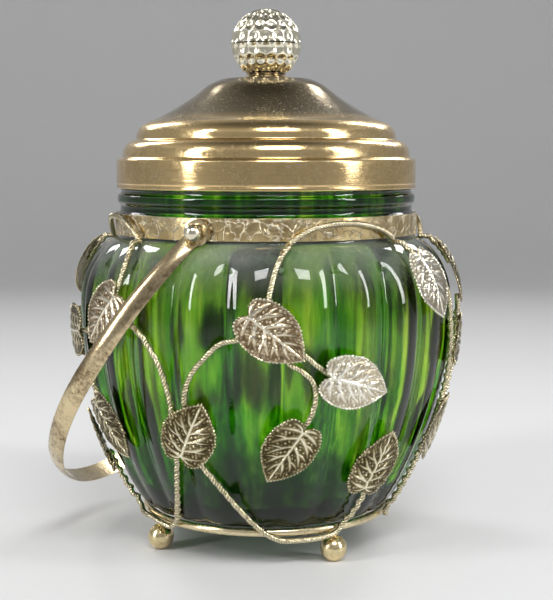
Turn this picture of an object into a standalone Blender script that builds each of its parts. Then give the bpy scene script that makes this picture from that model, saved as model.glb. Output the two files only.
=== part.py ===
"""Biscuit jar: a lobed glass jar in a brass vine frame, with a stepped lid, ball knob and swing bail.

Units are metres, +Z is up, and the front of the jar faces -Y. The origin is the centre of the
jar's flat underside. Angles round the jar are counted from the front towards +X.
"""
import math

import bmesh
import bpy
from mathutils import Matrix, Vector

MM = 0.001

# Fits
CLEAR = 0.3 * MM                  # gap between pieces that touch
SOLDER = 0.8 * MM                 # gap that the solder fills under a bent wire
OVERRUN = 2.0 * MM                # how far a cutter runs past what it cuts
MERGE = 0.01 * MM                 # points closer than this are one point

# Glass jar
HEEL_FLAT_RADIUS = 47.0 * MM      # flat underside
HEEL_ROUND = 4.5 * MM
HEEL_SWEEP = math.radians(60)
BELLY_RADIUS = 74.5 * MM          # widest, over the crests of the lobes
BELLY_HEIGHT = 79.0 * MM
SHOULDER_HEIGHT = 107.2 * MM      # where the shoulder meets the neck
NECK_RADIUS = 59.4 * MM
GROOVE_DEPTH = 1.0 * MM
GROOVE_HEIGHT = 2.2 * MM
BEAD_RADIUS = 59.3 * MM
BEAD_HEIGHT = 6.8 * MM
BEAD_ROUND = 1.5 * MM
RIM_RADIUS = 57.4 * MM
RIM_HEIGHT = 7.6 * MM
RIM_ROUND = 1.2 * MM
WALL = 3.6 * MM
FLOOR = 7.0 * MM
LOBE_COUNT = 22
LOBE_DEPTH = 3.0 * MM
LOBE_FIRST_GROOVE = math.radians(5.0)
FACETS_PER_LOBE = 3
BELLY_POWER = 0.85                # how soon the belly swells above the heel
SHOULDER_POWER = 2.3
SHOULDER_SOFTNESS = 0.65
HEEL_LOBE_SHARE = 0.35            # lobe depth left at the heel
CAVITY_HEIGHT_SHARES = (0.35, 0.80, 0.98)
BELLY_RINGS = 6
SHOULDER_RINGS = 4
HEEL_RINGS = 2

# Neck band, pivots and bail
BAND_FOOT_GAP = 1.2 * MM          # glass left between the shoulder and the band
BAND_HEIGHT = 8.3 * MM
BAND_SHEET = 0.5 * MM
LAP_SWEEP = math.radians(13)
BAND_STEPS = 48
PIVOT_TURN = math.radians(-23)    # the front pivot, round the jar
PIVOT_SHARE = 0.39                # its place up the band
WASHER_RADIUS = 3.6 * MM
WASHER_SHEET = 1.0 * MM
SHANK_RADIUS = 1.3 * MM
RIVET_BALL_RADIUS = 3.3 * MM
RIVET_SEAT_RADIUS = 2.3 * MM
EYE_RADIUS = 5.1 * MM
BAIL_SHEET = 1.2 * MM
BAIL_EDGE = 0.6 * MM
BAIL_WIDTH = 7.9 * MM
BAIL_EYE_WIDTH = 6.0 * MM
BAIL_SIDE_GAP = 6.5 * MM          # from the widest lobes out to the middle of the strip
BAIL_STRAIGHT = 3.0 * MM          # flat run beside the pivot, before the arm bows out
BAIL_ARM_SHARE = 1.87             # its arms, to the drop from the pivot to the widest lobes
BAIL_REST_HEIGHT = 3.4 * MM       # its lowest point at rest, above the underside of the jar
BAIL_BOW_POWER = 2.5
BAIL_LEAN = math.radians(35.3)    # how far it leans from straight down at rest
ARM_POINT_COUNT = 6
BEND_POINT_COUNT = 21

# Lid
LID_RADIUS = 59.6 * MM
LID_HEIGHT = 42.9 * MM
LID_SHEET = 0.9 * MM
LID_STEPS = 36
# Outline of the lid from its flat top to the lip: share of its radius, share of its height.
LID_OUTLINE_SHARES = (
    (0.285, 1.000), (0.379, 0.953), (0.487, 0.830), (0.747, 0.620), (0.814, 0.583),
    (0.855, 0.520), (0.868, 0.445), (0.935, 0.405), (0.962, 0.280), (0.996, 0.260),
    (1.000, 0.000),
)

# Knob
KNOB_RADIUS = 13.8 * MM
KNOB_SEAT_RADIUS = 8.2 * MM
KNOB_STEPS = 36
DIMPLE_DEPTH = 0.5 * MM
BALL_ROWS = 8                     # rings of points on half the ball, between seam and pole
BALL_ROW_ANGLE = math.radians(9.6)
COLLAR_RADIUS = 8.9 * MM
COLLAR_HEIGHT = 2.0 * MM
COLLAR_STEPS = 24
SCREW_RADIUS = 1.6 * MM
SCREW_REACH = 8.0 * MM            # thread inside the knob
SCREW_HEAD_RADIUS = 3.6 * MM
SCREW_HEAD_HEIGHT = 2.0 * MM
KNOB_WASHER_RADIUS = 7.0 * MM
KNOB_WASHER_SHEET = 1.0 * MM

# Base ring and feet
RING_RADIUS = 48.8 * MM
RING_WIRE_RADIUS = 1.55 * MM
RING_STEPS = 36
RING_SIDE_COUNT = 8
FOOT_RADIUS = 5.1 * MM
FOOT_FLAT_RADIUS = 1.2 * MM
FOOT_NECK_RADIUS = 1.4 * MM
FOOT_NECK_HEIGHT = 1.3 * MM
FOOT_COUNT = 4
FOOT_FIRST_TURN = math.radians(32)
FOOT_RINGS = 6
RIVET_RINGS = 5
RIVET_CROWN_ANGLE = math.radians(60)
SMALL_STEPS = 16
SHARP_ANGLE = math.radians(35)

# Vine frame
WIRE_RADIUS = 1.05 * MM
WIRE_LIFT = 1.2 * MM              # air between the wires and the glass
WIRE_STEP = 7.5 * MM              # length of one straight stretch of a bent wire
ROUTE_STEPS = 12                  # points of the smooth curve between two places of a route
LEAF_SEAT = 0.4 * MM              # gap between a leaf and the wire behind it
LEAF_SHEET = 0.6 * MM
LEAF_LENGTH = 26.5 * MM           # from the cleft to the tip
LEAF_LOBE_REACH = 2.8 * MM        # how far the two lobes reach behind the cleft
LEAF_EDGE_FORWARD = 0.9 * MM      # how far the sides of the lobes lie ahead of the cleft
LEAF_HALF_WIDTH = 10.7 * MM
LEAF_RIB_RISE = 0.5 * MM
LEAF_STRIDE = 1.0 * MM            # one step when a length is laid off along the curve of the jar
SPRAY_COUNT = 2                   # the front spray and its copy half a turn round
SEAT_STEPS = 24                   # points of the outline that wires and leaves are laid on
# Half widths of a leaf from its lobes to its tip: share of its length, share of its half width.
LEAF_OUTLINE_SHARES = ((0.0, 0.78), (0.2, 0.98), (0.42, 1.0), (0.63, 0.83), (0.83, 0.45), (1.0, 0.0))
LEAF_COLUMN_SHARES = (-1.0, -0.5, 0.0, 0.5, 1.0)
# Each leaf of a spray: degrees round from the pivot and share of the shoulder height, both at
# the cleft, and the way its tip points, in degrees from level right.
LEAF_PLACE_SHARES = {
    "crown": (18.8, 0.786, -40.0),
    "arch_end": (75.0, 0.955, -73.0),
    "bright": (40.0, 0.577, -17.5),
    "hanging": (34.0, 0.397, -121.0),
    "middle": (-3.0, 0.282, 65.0),
    "rising": (58.0, 0.150, 77.0),
    "crown_left": (-21.5, 0.829, -132.0),
    "arch_end_left": (-72.0, 0.975, -109.0),
    "side_left": (-41.5, 0.680, -175.0),
    "hanging_left": (-37.0, 0.433, -57.0),
    "rising_left": (-56.0, 0.144, 102.0),
    "edge_lower": (89.0, 0.232, 61.0),
    "edge_upper": (111.0, 0.647, -163.0),
}
# Each wire of a spray as a route of points: degrees round from the pivot, share of the
# shoulder height.
WIRE_ROUTE_SHARES = {
    "arch": (
        (23, 0.750), (24, 0.831), (25, 0.884), (26.5, 0.938), (29, 0.982), (34, 1.026), (39, 1.053),
        (46, 1.067), (55, 1.068), (65, 1.048), (72, 1.012), (75, 0.965), (76, 0.900),
    ),
    "arch_left": (
        (-24, 0.780), (-22.5, 0.840), (-22, 0.899), (-23, 0.955), (-26, 1.002), (-31, 1.044),
        (-38, 1.074), (-45, 1.082), (-53, 1.077), (-61, 1.057), (-68, 1.020), (-72, 0.970), (-73, 0.900),
    ),
    "link": (
        (19, 0.708), (15, 0.700), (11, 0.686), (7, 0.641), (3, 0.584), (0.5, 0.517), (0, 0.452),
        (0.2, 0.405), (-0.9, 0.370), (-2.6, 0.358), (-4.3, 0.370), (-4.9, 0.405), (-4.4, 0.452),
        (-5, 0.522), (-7.5, 0.616), (-12, 0.693), (-16, 0.729), (-20, 0.748), (-24, 0.762),
    ),
    "hook": (
        (62, 0.220), (61, 0.133), (59, 0.045), (55, -0.015), (48, -0.038), (40, -0.045),
        (31, -0.042), (25, -0.020), (20, 0.012), (14, 0.084), (9, 0.158), (3, 0.252), (1.2, 0.286),
        (-0.6, 0.306), (-3, 0.308), (-5, 0.286), (-6, 0.252), (-9, 0.152), (-12, 0.080),
        (-16, 0.020), (-21, -0.022), (-28, -0.020), (-36, -0.014), (-44, -0.018), (-50, -0.002),
        (-54, 0.050), (-57, 0.130), (-58, 0.200),
    ),
    "sprig": (
        (45, 0.560), (40, 0.587), (36, 0.624), (32.5, 0.658), (29.6, 0.650), (29.6, 0.622),
        (33, 0.596), (36, 0.559), (37, 0.504), (36, 0.444), (34, 0.395), (32.5, 0.340),
    ),
    "sprig_left": (
        (-46, 0.675), (-40, 0.682), (-36, 0.690), (-32.3, 0.703), (-29.4, 0.697), (-29.6, 0.668),
        (-32.5, 0.635), (-36.5, 0.575), (-39, 0.501), (-38.5, 0.447), (-36.5, 0.386),
    ),
    "drop": (
        (81, 0.862), (85, 0.864), (88, 0.825), (89.5, 0.759), (91, 0.694), (93, 0.618),
        (94.5, 0.535), (95, 0.466), (94.4, 0.415), (94.4, 0.372), (95.6, 0.349), (97.2, 0.351),
        (98.4, 0.375), (99.5, 0.430), (101.5, 0.500), (103.5, 0.580), (104.5, 0.660), (104, 0.730),
        (103, 0.790),
    ),
    "edge_stem": ((90.5, 0.300), (89.5, 0.250), (89.3, 0.205), (88.7, 0.130), (88, 0.060), (87.5, -0.020)),
}

# Places that follow from the sizes above
BAND_FOOT = SHOULDER_HEIGHT + BAND_FOOT_GAP
BAND_TOP = BAND_FOOT + BAND_HEIGHT
BAND_INNER = NECK_RADIUS + CLEAR
BAND_OUTER = BAND_INNER + BAND_SHEET
LAP_OUTER = BAND_OUTER + BAND_SHEET
PIVOT_HEIGHT = BAND_FOOT + BAND_HEIGHT * PIVOT_SHARE
BEAD_TOP = BAND_TOP + CLEAR + GROOVE_HEIGHT + BEAD_HEIGHT
RIM_TOP = BEAD_TOP + RIM_HEIGHT
LID_FOOT = BEAD_TOP + CLEAR
LID_TOP = LID_FOOT + LID_HEIGHT
COLLAR_FOOT = LID_TOP + CLEAR
COLLAR_TOP = COLLAR_FOOT + COLLAR_HEIGHT
KNOB_FOOT = COLLAR_TOP + CLEAR
KNOB_CENTRE = KNOB_FOOT + math.sqrt(KNOB_RADIUS ** 2 - KNOB_SEAT_RADIUS ** 2)
SCREW_HOLE = SCREW_RADIUS + CLEAR
BAIL_HALF_SPREAD = BELLY_RADIUS + BAIL_SIDE_GAP
BAIL_ARM = (PIVOT_HEIGHT - BELLY_HEIGHT) * BAIL_ARM_SHARE
BAIL_BEND = (PIVOT_HEIGHT - BAIL_REST_HEIGHT) / math.cos(BAIL_LEAN) - BAIL_ARM
WASHER_INNER_FACE = LAP_OUTER + CLEAR
EYE_INNER_FACE = WASHER_INNER_FACE + WASHER_SHEET + CLEAR
EYE_OUTER_FACE = EYE_INNER_FACE + BAIL_SHEET
EYE_HOLE = SHANK_RADIUS + CLEAR
RING_HEIGHT = HEEL_ROUND - math.sqrt(
    (HEEL_ROUND + RING_WIRE_RADIUS + CLEAR) ** 2 - (RING_RADIUS - HEEL_FLAT_RADIUS) ** 2)
FOOT_TOP = RING_HEIGHT - RING_WIRE_RADIUS - CLEAR
FOOT_CENTRE = FOOT_TOP - FOOT_NECK_HEIGHT - math.sqrt(FOOT_RADIUS ** 2 - FOOT_NECK_RADIUS ** 2)
FOOT_SOLE = FOOT_CENTRE - math.sqrt(FOOT_RADIUS ** 2 - FOOT_FLAT_RADIUS ** 2)


def lobe_share(height):
    """Share of the full lobe depth at a height: shallow at the heel, none at the neck."""
    if height <= BELLY_HEIGHT:
        rise = max(height, 0.0) / BELLY_HEIGHT
        return HEEL_LOBE_SHARE + (1.0 - HEEL_LOBE_SHARE) * math.sin(rise * math.pi / 2)
    rise = min((height - BELLY_HEIGHT) / (SHOULDER_HEIGHT - BELLY_HEIGHT), 1.0)
    return 1.0 - rise ** 3


def belly_radius(height):
    """Radius over the crests between the end of the heel and the widest place."""
    start_radius = HEEL_FLAT_RADIUS + HEEL_ROUND * math.sin(HEEL_SWEEP)
    start_height = HEEL_ROUND * (1.0 - math.cos(HEEL_SWEEP))
    rise = min(max((height - start_height) / (BELLY_HEIGHT - start_height), 0.0), 1.0)
    swell = math.sin(rise ** BELLY_POWER * math.pi / 2)
    return start_radius + (BELLY_RADIUS - start_radius) * swell


def shoulder_radius(height):
    """Radius over the crests between the widest place and the neck."""
    rise = min(max((height - BELLY_HEIGHT) / (SHOULDER_HEIGHT - BELLY_HEIGHT), 0.0), 1.0)
    hold = (1.0 - rise ** SHOULDER_POWER) ** SHOULDER_SOFTNESS
    return NECK_RADIUS + (BELLY_RADIUS - NECK_RADIUS) * hold


def spread(low, high, count):
    """Evenly spaced values from low to high, both included."""
    return [low + (high - low) * index / (count - 1) for index in range(count)]


def heel_points(count):
    """The rounded heel, from its wall end down to the flat underside."""
    points = []
    for angle in spread(HEEL_SWEEP, 0.0, count):
        radius = HEEL_FLAT_RADIUS + HEEL_ROUND * math.sin(angle)
        points.append((radius, HEEL_ROUND * (1.0 - math.cos(angle))))
    return points


def body_outline(belly_count, shoulder_count, heel_count):
    """Outer outline of the lobed body over its crests, from the neck down to the underside."""
    outline = []
    for share in spread(0.0, 1.0, shoulder_count):
        height = SHOULDER_HEIGHT - (SHOULDER_HEIGHT - BELLY_HEIGHT) * (1.0 - (1.0 - share) ** 2)
        outline.append((shoulder_radius(height), height))
    wall_foot = HEEL_ROUND * (1.0 - math.cos(HEEL_SWEEP))
    for share in spread(1.0, 0.0, belly_count)[1:-1]:
        height = wall_foot + (BELLY_HEIGHT - wall_foot) * share
        outline.append((belly_radius(height), height))
    return outline + heel_points(heel_count)


def jar_collection():
    """Collections for the parts and for the cutters."""
    for item in list(bpy.data.objects):
        bpy.data.objects.remove(item, do_unlink=True)
    parts = bpy.data.collections.new("biscuit_jar")
    cutters = bpy.data.collections.new("cutters")
    bpy.context.scene.collection.children.link(parts)
    bpy.context.scene.collection.children.link(cutters)
    return parts, cutters


PARTS, CUTTERS = jar_collection()


def finish_material(name, colour, roughness, metallic, transmission=0.0):
    """A plain Principled material."""
    material = bpy.data.materials.new(name)
    material.use_nodes = True
    shader = material.node_tree.nodes["Principled BSDF"]
    shader.inputs["Base Color"].default_value = (*colour, 1.0)
    shader.inputs["Roughness"].default_value = roughness
    shader.inputs["Metallic"].default_value = metallic
    shader.inputs["Transmission Weight"].default_value = transmission
    return material


GREEN_GLASS = ((0.03, 0.22, 0.04), 0.05, 0.0, 0.9)
POLISHED_BRASS = ((0.80, 0.66, 0.40), 0.15, 1.0, 0.0)
AGED_BRASS = ((0.62, 0.52, 0.32), 0.35, 1.0, 0.0)
PALE_BRASS = ((0.86, 0.78, 0.56), 0.22, 1.0, 0.0)
STEEL = ((0.60, 0.60, 0.60), 0.30, 1.0, 0.0)


def add_part(name, mesh, finish):
    """A named part in the parts collection, with a material of its own."""
    part = bpy.data.objects.new(name, mesh)
    mesh.materials.append(finish_material(name, *finish))
    PARTS.objects.link(part)
    return part


def smooth(mesh):
    """Smooth shading that keeps the corners."""
    mesh.shade_smooth()
    mesh.set_sharp_from_angle(angle=SHARP_ANGLE)


def profile_mesh(name, points, closed):
    """A chain of edges in the XZ plane, ready for a Screw modifier."""
    mesh = bpy.data.meshes.new(name)
    edges = [(index, index + 1) for index in range(len(points) - 1)]
    if closed:
        edges.append((len(points) - 1, 0))
    mesh.from_pydata([(radius, 0.0, height) for radius, height in points], edges, [])
    return mesh


def screw(part, steps):
    """Turn the profile of a part round Z."""
    modifier = part.modifiers.new("turned", "SCREW")
    modifier.steps = steps
    modifier.render_steps = steps
    modifier.use_merge_vertices = True
    modifier.merge_threshold = MERGE
    modifier.use_smooth_shade = True
    return modifier


def turned(name, points, steps, finish, closed=False):
    """A turned part: its profile runs down the outer side."""
    part = add_part(name, profile_mesh(name, points, closed), finish)
    screw(part, steps)
    return part


def frozen(part):
    """Replace a part's mesh with what its modifiers make of it."""
    graph = bpy.context.evaluated_depsgraph_get()
    mesh = bpy.data.meshes.new_from_object(part.evaluated_get(graph))
    mesh.name = part.name
    old = part.data
    part.modifiers.clear()
    part.data = mesh
    bpy.data.meshes.remove(old)
    smooth(mesh)
    return part


def make_cutter(name, radius, length, centre, rotation):
    """A hidden cylinder that cuts a hole."""
    mesh = bpy.data.meshes.new(name)
    form = bmesh.new()
    bmesh.ops.create_cone(
        form, cap_ends=True, segments=SMALL_STEPS, radius1=radius, radius2=radius, depth=length)
    form.to_mesh(mesh)
    form.free()
    tool = bpy.data.objects.new(name, mesh)
    tool.location = centre
    tool.rotation_euler = rotation
    tool.hide_render = True
    tool.display_type = "WIRE"
    CUTTERS.objects.link(tool)
    return tool


def apply_boolean(part, tool, operation):
    """Join or cut a part with a tool."""
    modifier = part.modifiers.new(tool.name, "BOOLEAN")
    modifier.operation = operation
    modifier.solver = "EXACT"
    modifier.object = tool
    return modifier


def make_glass_jar():
    """The jar: a turned wall whose outside is then pressed into lobes."""
    neck_inner = RIM_RADIUS - WALL
    outline = body_outline(BELLY_RINGS, SHOULDER_RINGS, HEEL_RINGS)
    cavity = []
    for height in (SHOULDER_HEIGHT * share for share in CAVITY_HEIGHT_SHARES):
        radius = belly_radius(height) if height < BELLY_HEIGHT else shoulder_radius(height)
        cavity.append((radius - WALL - LOBE_DEPTH * lobe_share(height), height))
    corner = belly_radius(FLOOR) - WALL - LOBE_DEPTH
    points = [(0.0, FLOOR), (corner, FLOOR)]
    points += cavity
    points += [
        (neck_inner, SHOULDER_HEIGHT + BAND_FOOT_GAP),
        (neck_inner, RIM_TOP - RIM_ROUND),
        (RIM_RADIUS - WALL / 2, RIM_TOP),
        (RIM_RADIUS, RIM_TOP - RIM_ROUND),
        (RIM_RADIUS, BEAD_TOP),
        (BEAD_RADIUS - BEAD_ROUND / 2, BEAD_TOP),
        (BEAD_RADIUS, BEAD_TOP - BEAD_ROUND),
        (BEAD_RADIUS, BEAD_TOP - BEAD_HEIGHT + BEAD_ROUND),
        (NECK_RADIUS - GROOVE_DEPTH, BEAD_TOP - BEAD_HEIGHT),
        (NECK_RADIUS, BAND_TOP),
    ]
    points += outline
    points.append((0.0, 0.0))
    jar = turned("glass_jar", points, LOBE_COUNT * FACETS_PER_LOBE, GREEN_GLASS)
    jar.rotation_euler = (0.0, 0.0, LOBE_FIRST_GROOVE - math.pi / 2)
    frozen(jar)
    press_lobes(jar.data)
    return jar


def press_lobes(mesh):
    """Draw the outside of the body in between the crests, and leave the cavity round."""
    for vertex in mesh.vertices:
        radius = math.hypot(vertex.co.x, vertex.co.y)
        height = vertex.co.z
        if height >= SHOULDER_HEIGHT or radius <= HEEL_FLAT_RADIUS / 2:
            continue
        crest = belly_radius(height) if height < BELLY_HEIGHT else shoulder_radius(height)
        if radius < crest - LOBE_DEPTH and height > HEEL_ROUND:
            continue
        turn = math.atan2(vertex.co.y, vertex.co.x) * LOBE_COUNT / math.tau
        from_crest = 2.0 * abs(turn - math.floor(turn) - 0.5)
        drawn_in = LOBE_DEPTH * lobe_share(height) * from_crest ** 2
        vertex.co.x *= (radius - drawn_in) / radius
        vertex.co.y *= (radius - drawn_in) / radius


def make_lid():
    """The stepped lid, a sheet shell open below, with the hole for the knob's screw."""
    points = [(SCREW_HOLE, LID_TOP)]
    for radius_share, height_share in LID_OUTLINE_SHARES:
        points.append((LID_RADIUS * radius_share, LID_FOOT + LID_HEIGHT * height_share))
    lid = turned("lid_shell", points, LID_STEPS, POLISHED_BRASS)
    sheet = lid.modifiers.new("sheet", "SOLIDIFY")
    sheet.thickness = LID_SHEET
    sheet.offset = -1.0
    sheet.use_even_offset = True
    return frozen(lid)


def ball_row_angles():
    """Angles above the seam of the rings of points on one half of the knob."""
    return [BALL_ROW_ANGLE * (index + 1) for index in range(BALL_ROWS)]


def press_dimples(mesh):
    """Press a dimple at every second point of every second ring of the ball."""
    centre = Vector((0.0, 0.0, KNOB_CENTRE))
    for vertex in mesh.vertices:
        out = vertex.co - centre
        if abs(out.length - KNOB_RADIUS) > CLEAR / 2:
            continue
        row = round(math.asin(min(1.0, abs(out.z) / KNOB_RADIUS)) / BALL_ROW_ANGLE)
        column = round(math.atan2(out.y, out.x) / math.tau * KNOB_STEPS)
        if row % 2 == 1 and row < BALL_ROWS and (column + row // 2) % 2 == 0:
            vertex.co = centre + out * (1.0 - DIMPLE_DEPTH / KNOB_RADIUS)


def make_knob():
    """Collar, two dimpled half balls that meet at a seam, and the screw and washer that hold them."""
    turned("knob_collar", [
        (SCREW_HOLE, COLLAR_TOP), (KNOB_SEAT_RADIUS, COLLAR_TOP),
        (KNOB_SEAT_RADIUS, COLLAR_TOP - COLLAR_HEIGHT / 2), (COLLAR_RADIUS, COLLAR_FOOT + COLLAR_HEIGHT / 4),
        (COLLAR_RADIUS, COLLAR_FOOT), (SCREW_HOLE, COLLAR_FOOT),
    ], COLLAR_STEPS, POLISHED_BRASS, closed=True)
    seam = CLEAR / 2
    upper = [(0.0, KNOB_CENTRE + KNOB_RADIUS)]
    for angle in reversed(ball_row_angles()):
        upper.append((KNOB_RADIUS * math.cos(angle), KNOB_CENTRE + KNOB_RADIUS * math.sin(angle)))
    upper += [(KNOB_RADIUS, KNOB_CENTRE + seam), (0.0, KNOB_CENTRE + seam)]
    half = frozen(turned("knob_upper_half", upper, KNOB_STEPS, PALE_BRASS))
    press_dimples(half.data)
    bore_end = KNOB_FOOT + SCREW_REACH + 2 * CLEAR
    lower = [(0.0, KNOB_CENTRE - seam), (KNOB_RADIUS, KNOB_CENTRE - seam)]
    for angle in ball_row_angles():
        if KNOB_RADIUS * math.cos(angle) > KNOB_SEAT_RADIUS + CLEAR:
            lower.append((KNOB_RADIUS * math.cos(angle), KNOB_CENTRE - KNOB_RADIUS * math.sin(angle)))
    lower += [
        (KNOB_SEAT_RADIUS, KNOB_FOOT), (SCREW_HOLE, KNOB_FOOT), (SCREW_HOLE, bore_end), (0.0, bore_end),
    ]
    half = frozen(turned("knob_lower_half", lower, KNOB_STEPS, PALE_BRASS))
    press_dimples(half.data)
    washer_top = LID_TOP - LID_SHEET - CLEAR
    washer_foot = washer_top - KNOB_WASHER_SHEET
    turned("knob_washer", [
        (SCREW_HOLE, washer_top), (KNOB_WASHER_RADIUS, washer_top),
        (KNOB_WASHER_RADIUS, washer_foot), (SCREW_HOLE, washer_foot),
    ], COLLAR_STEPS, STEEL, closed=True)
    head_top = washer_foot - CLEAR
    turned("knob_screw", [
        (0.0, KNOB_FOOT + SCREW_REACH), (SCREW_RADIUS, KNOB_FOOT + SCREW_REACH), (SCREW_RADIUS, head_top),
        (SCREW_HEAD_RADIUS, head_top), (SCREW_HEAD_RADIUS, head_top - SCREW_HEAD_HEIGHT / 2),
        (SCREW_HEAD_RADIUS / 2, head_top - SCREW_HEAD_HEIGHT), (0.0, head_top - SCREW_HEAD_HEIGHT),
    ], SMALL_STEPS, STEEL)


def pivot_axis_turn():
    """The turn about Z that lays +X along the pivot axis, towards the front pivot."""
    return PIVOT_TURN - math.pi / 2


def make_neck_band():
    """The strap round the neck, one strip whose end laps over its start at the front pivot."""
    flat = bpy.data.curves.new("neck_band", "CURVE")
    flat.dimensions = "2D"
    flat.fill_mode = "BOTH"
    flat.extrude = BAND_HEIGHT / 2
    turns = spread(0.0, math.tau, BAND_STEPS + 1)[:-1]
    lap = LAP_SWEEP / 2
    outer = [(turn, BAND_OUTER) for turn in turns if lap < turn < math.tau - lap]
    outer += [(-lap, BAND_OUTER), (-lap, LAP_OUTER), (0.0, LAP_OUTER), (lap, LAP_OUTER), (lap, BAND_OUTER)]
    inner = [(turn, BAND_INNER) for turn in turns]
    for loop in (outer, inner):
        spline = flat.splines.new("POLY")
        spline.points.add(len(loop) - 1)
        for point, (turn, radius) in zip(spline.points, loop):
            point.co = (radius * math.cos(turn), radius * math.sin(turn), 0.0, 1.0)
        spline.use_cyclic_u = True
    band = mesh_from_curve("neck_band", flat, AGED_BRASS)
    band.location = (0.0, 0.0, BAND_FOOT + BAND_HEIGHT / 2)
    band.rotation_euler = (0.0, 0.0, pivot_axis_turn())
    reach = 2 * (LAP_OUTER + OVERRUN)
    along_pivots = (0.0, math.pi / 2, pivot_axis_turn())
    drill = make_cutter("pivot_drill", EYE_HOLE, reach, (0.0, 0.0, PIVOT_HEIGHT), along_pivots)
    apply_boolean(band, drill, "DIFFERENCE")
    return band


def mesh_from_curve(name, curve, finish):
    """Turn a curve into a closed mesh part."""
    guide = bpy.data.objects.new(name, curve)
    PARTS.objects.link(guide)
    graph = bpy.context.evaluated_depsgraph_get()
    mesh = bpy.data.meshes.new_from_object(guide.evaluated_get(graph))
    form = bmesh.new()
    form.from_mesh(mesh)
    bmesh.ops.remove_doubles(form, verts=form.verts, dist=MERGE)
    bmesh.ops.recalc_face_normals(form, faces=form.faces)
    form.to_mesh(mesh)
    form.free()
    place = guide.matrix_world.copy()
    bpy.data.objects.remove(guide, do_unlink=True)
    part = add_part(name, mesh, finish)
    part.matrix_world = place
    smooth(mesh)
    return part


def make_pivot():
    """An empty on the pivot axis, +X towards the front pivot."""
    pivot = bpy.data.objects.new("bail_pivot", None)
    pivot.location = (0.0, 0.0, PIVOT_HEIGHT)
    pivot.rotation_euler = (0.0, 0.0, pivot_axis_turn())
    PARTS.objects.link(pivot)
    return pivot


def make_pivot_hardware(pivot):
    """A spacing washer and a ball-headed rivet at each end of the pivot axis."""
    ball_centre = EYE_OUTER_FACE + CLEAR + math.sqrt(RIVET_BALL_RADIUS ** 2 - RIVET_SEAT_RADIUS ** 2)
    rivet = [(0.0, ball_centre + RIVET_BALL_RADIUS)]
    seat_angle = math.acos(RIVET_SEAT_RADIUS / RIVET_BALL_RADIUS)
    for angle in spread(RIVET_CROWN_ANGLE, -seat_angle, RIVET_RINGS):
        rise = RIVET_BALL_RADIUS * math.sin(angle)
        rivet.append((RIVET_BALL_RADIUS * math.cos(angle), ball_centre + rise))
    rivet += [(SHANK_RADIUS, EYE_OUTER_FACE + CLEAR), (SHANK_RADIUS, BAND_INNER), (0.0, BAND_INNER)]
    washer_outer = WASHER_INNER_FACE + WASHER_SHEET
    washer = [
        (EYE_HOLE, washer_outer), (WASHER_RADIUS, washer_outer),
        (WASHER_RADIUS, WASHER_INNER_FACE), (EYE_HOLE, WASHER_INNER_FACE),
    ]
    for side, tilt in (("front", math.pi / 2), ("back", -math.pi / 2)):
        head = turned("pivot_rivet_" + side, rivet, SMALL_STEPS, PALE_BRASS)
        spacer = turned("pivot_washer_" + side, washer, SMALL_STEPS, AGED_BRASS, closed=True)
        for piece in (head, spacer):
            piece.parent = pivot
            piece.rotation_euler = (0.0, tilt, 0.0)


def bail_path():
    """Centre line of the bail in its own plane: X along the pivot axis, Y away from it."""
    start = EYE_INNER_FACE + BAIL_SHEET / 2
    arm = []
    for share in spread(0.0, 1.0, ARM_POINT_COUNT):
        bow = 1.0 - (1.0 - share) ** BAIL_BOW_POWER
        reach = BAIL_STRAIGHT + (BAIL_ARM - BAIL_STRAIGHT) * share
        arm.append((start + (BAIL_HALF_SPREAD - start) * bow, reach))
    arm.insert(0, (start, EYE_HOLE + CLEAR))
    bend = []
    for angle in spread(0.0, math.pi, BEND_POINT_COUNT)[1:-1]:
        bend.append((BAIL_HALF_SPREAD * math.cos(angle), BAIL_ARM + BAIL_BEND * math.sin(angle)))
    return arm + bend + [(-x, y) for x, y in reversed(arm)]


def make_eye_ring(side):
    """A drilled round eye for one end of the bail, to be joined to its strip."""
    section = [
        (EYE_HOLE, EYE_OUTER_FACE), (EYE_RADIUS, EYE_OUTER_FACE),
        (EYE_RADIUS, EYE_INNER_FACE), (EYE_HOLE, EYE_INNER_FACE),
    ]
    eye = bpy.data.objects.new("bail_eye", profile_mesh("bail_eye", section, closed=True))
    eye.rotation_euler = (0.0, side * math.pi / 2, 0.0)
    eye.hide_render = True
    eye.display_type = "WIRE"
    CUTTERS.objects.link(eye)
    screw(eye, SMALL_STEPS)
    return eye


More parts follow.
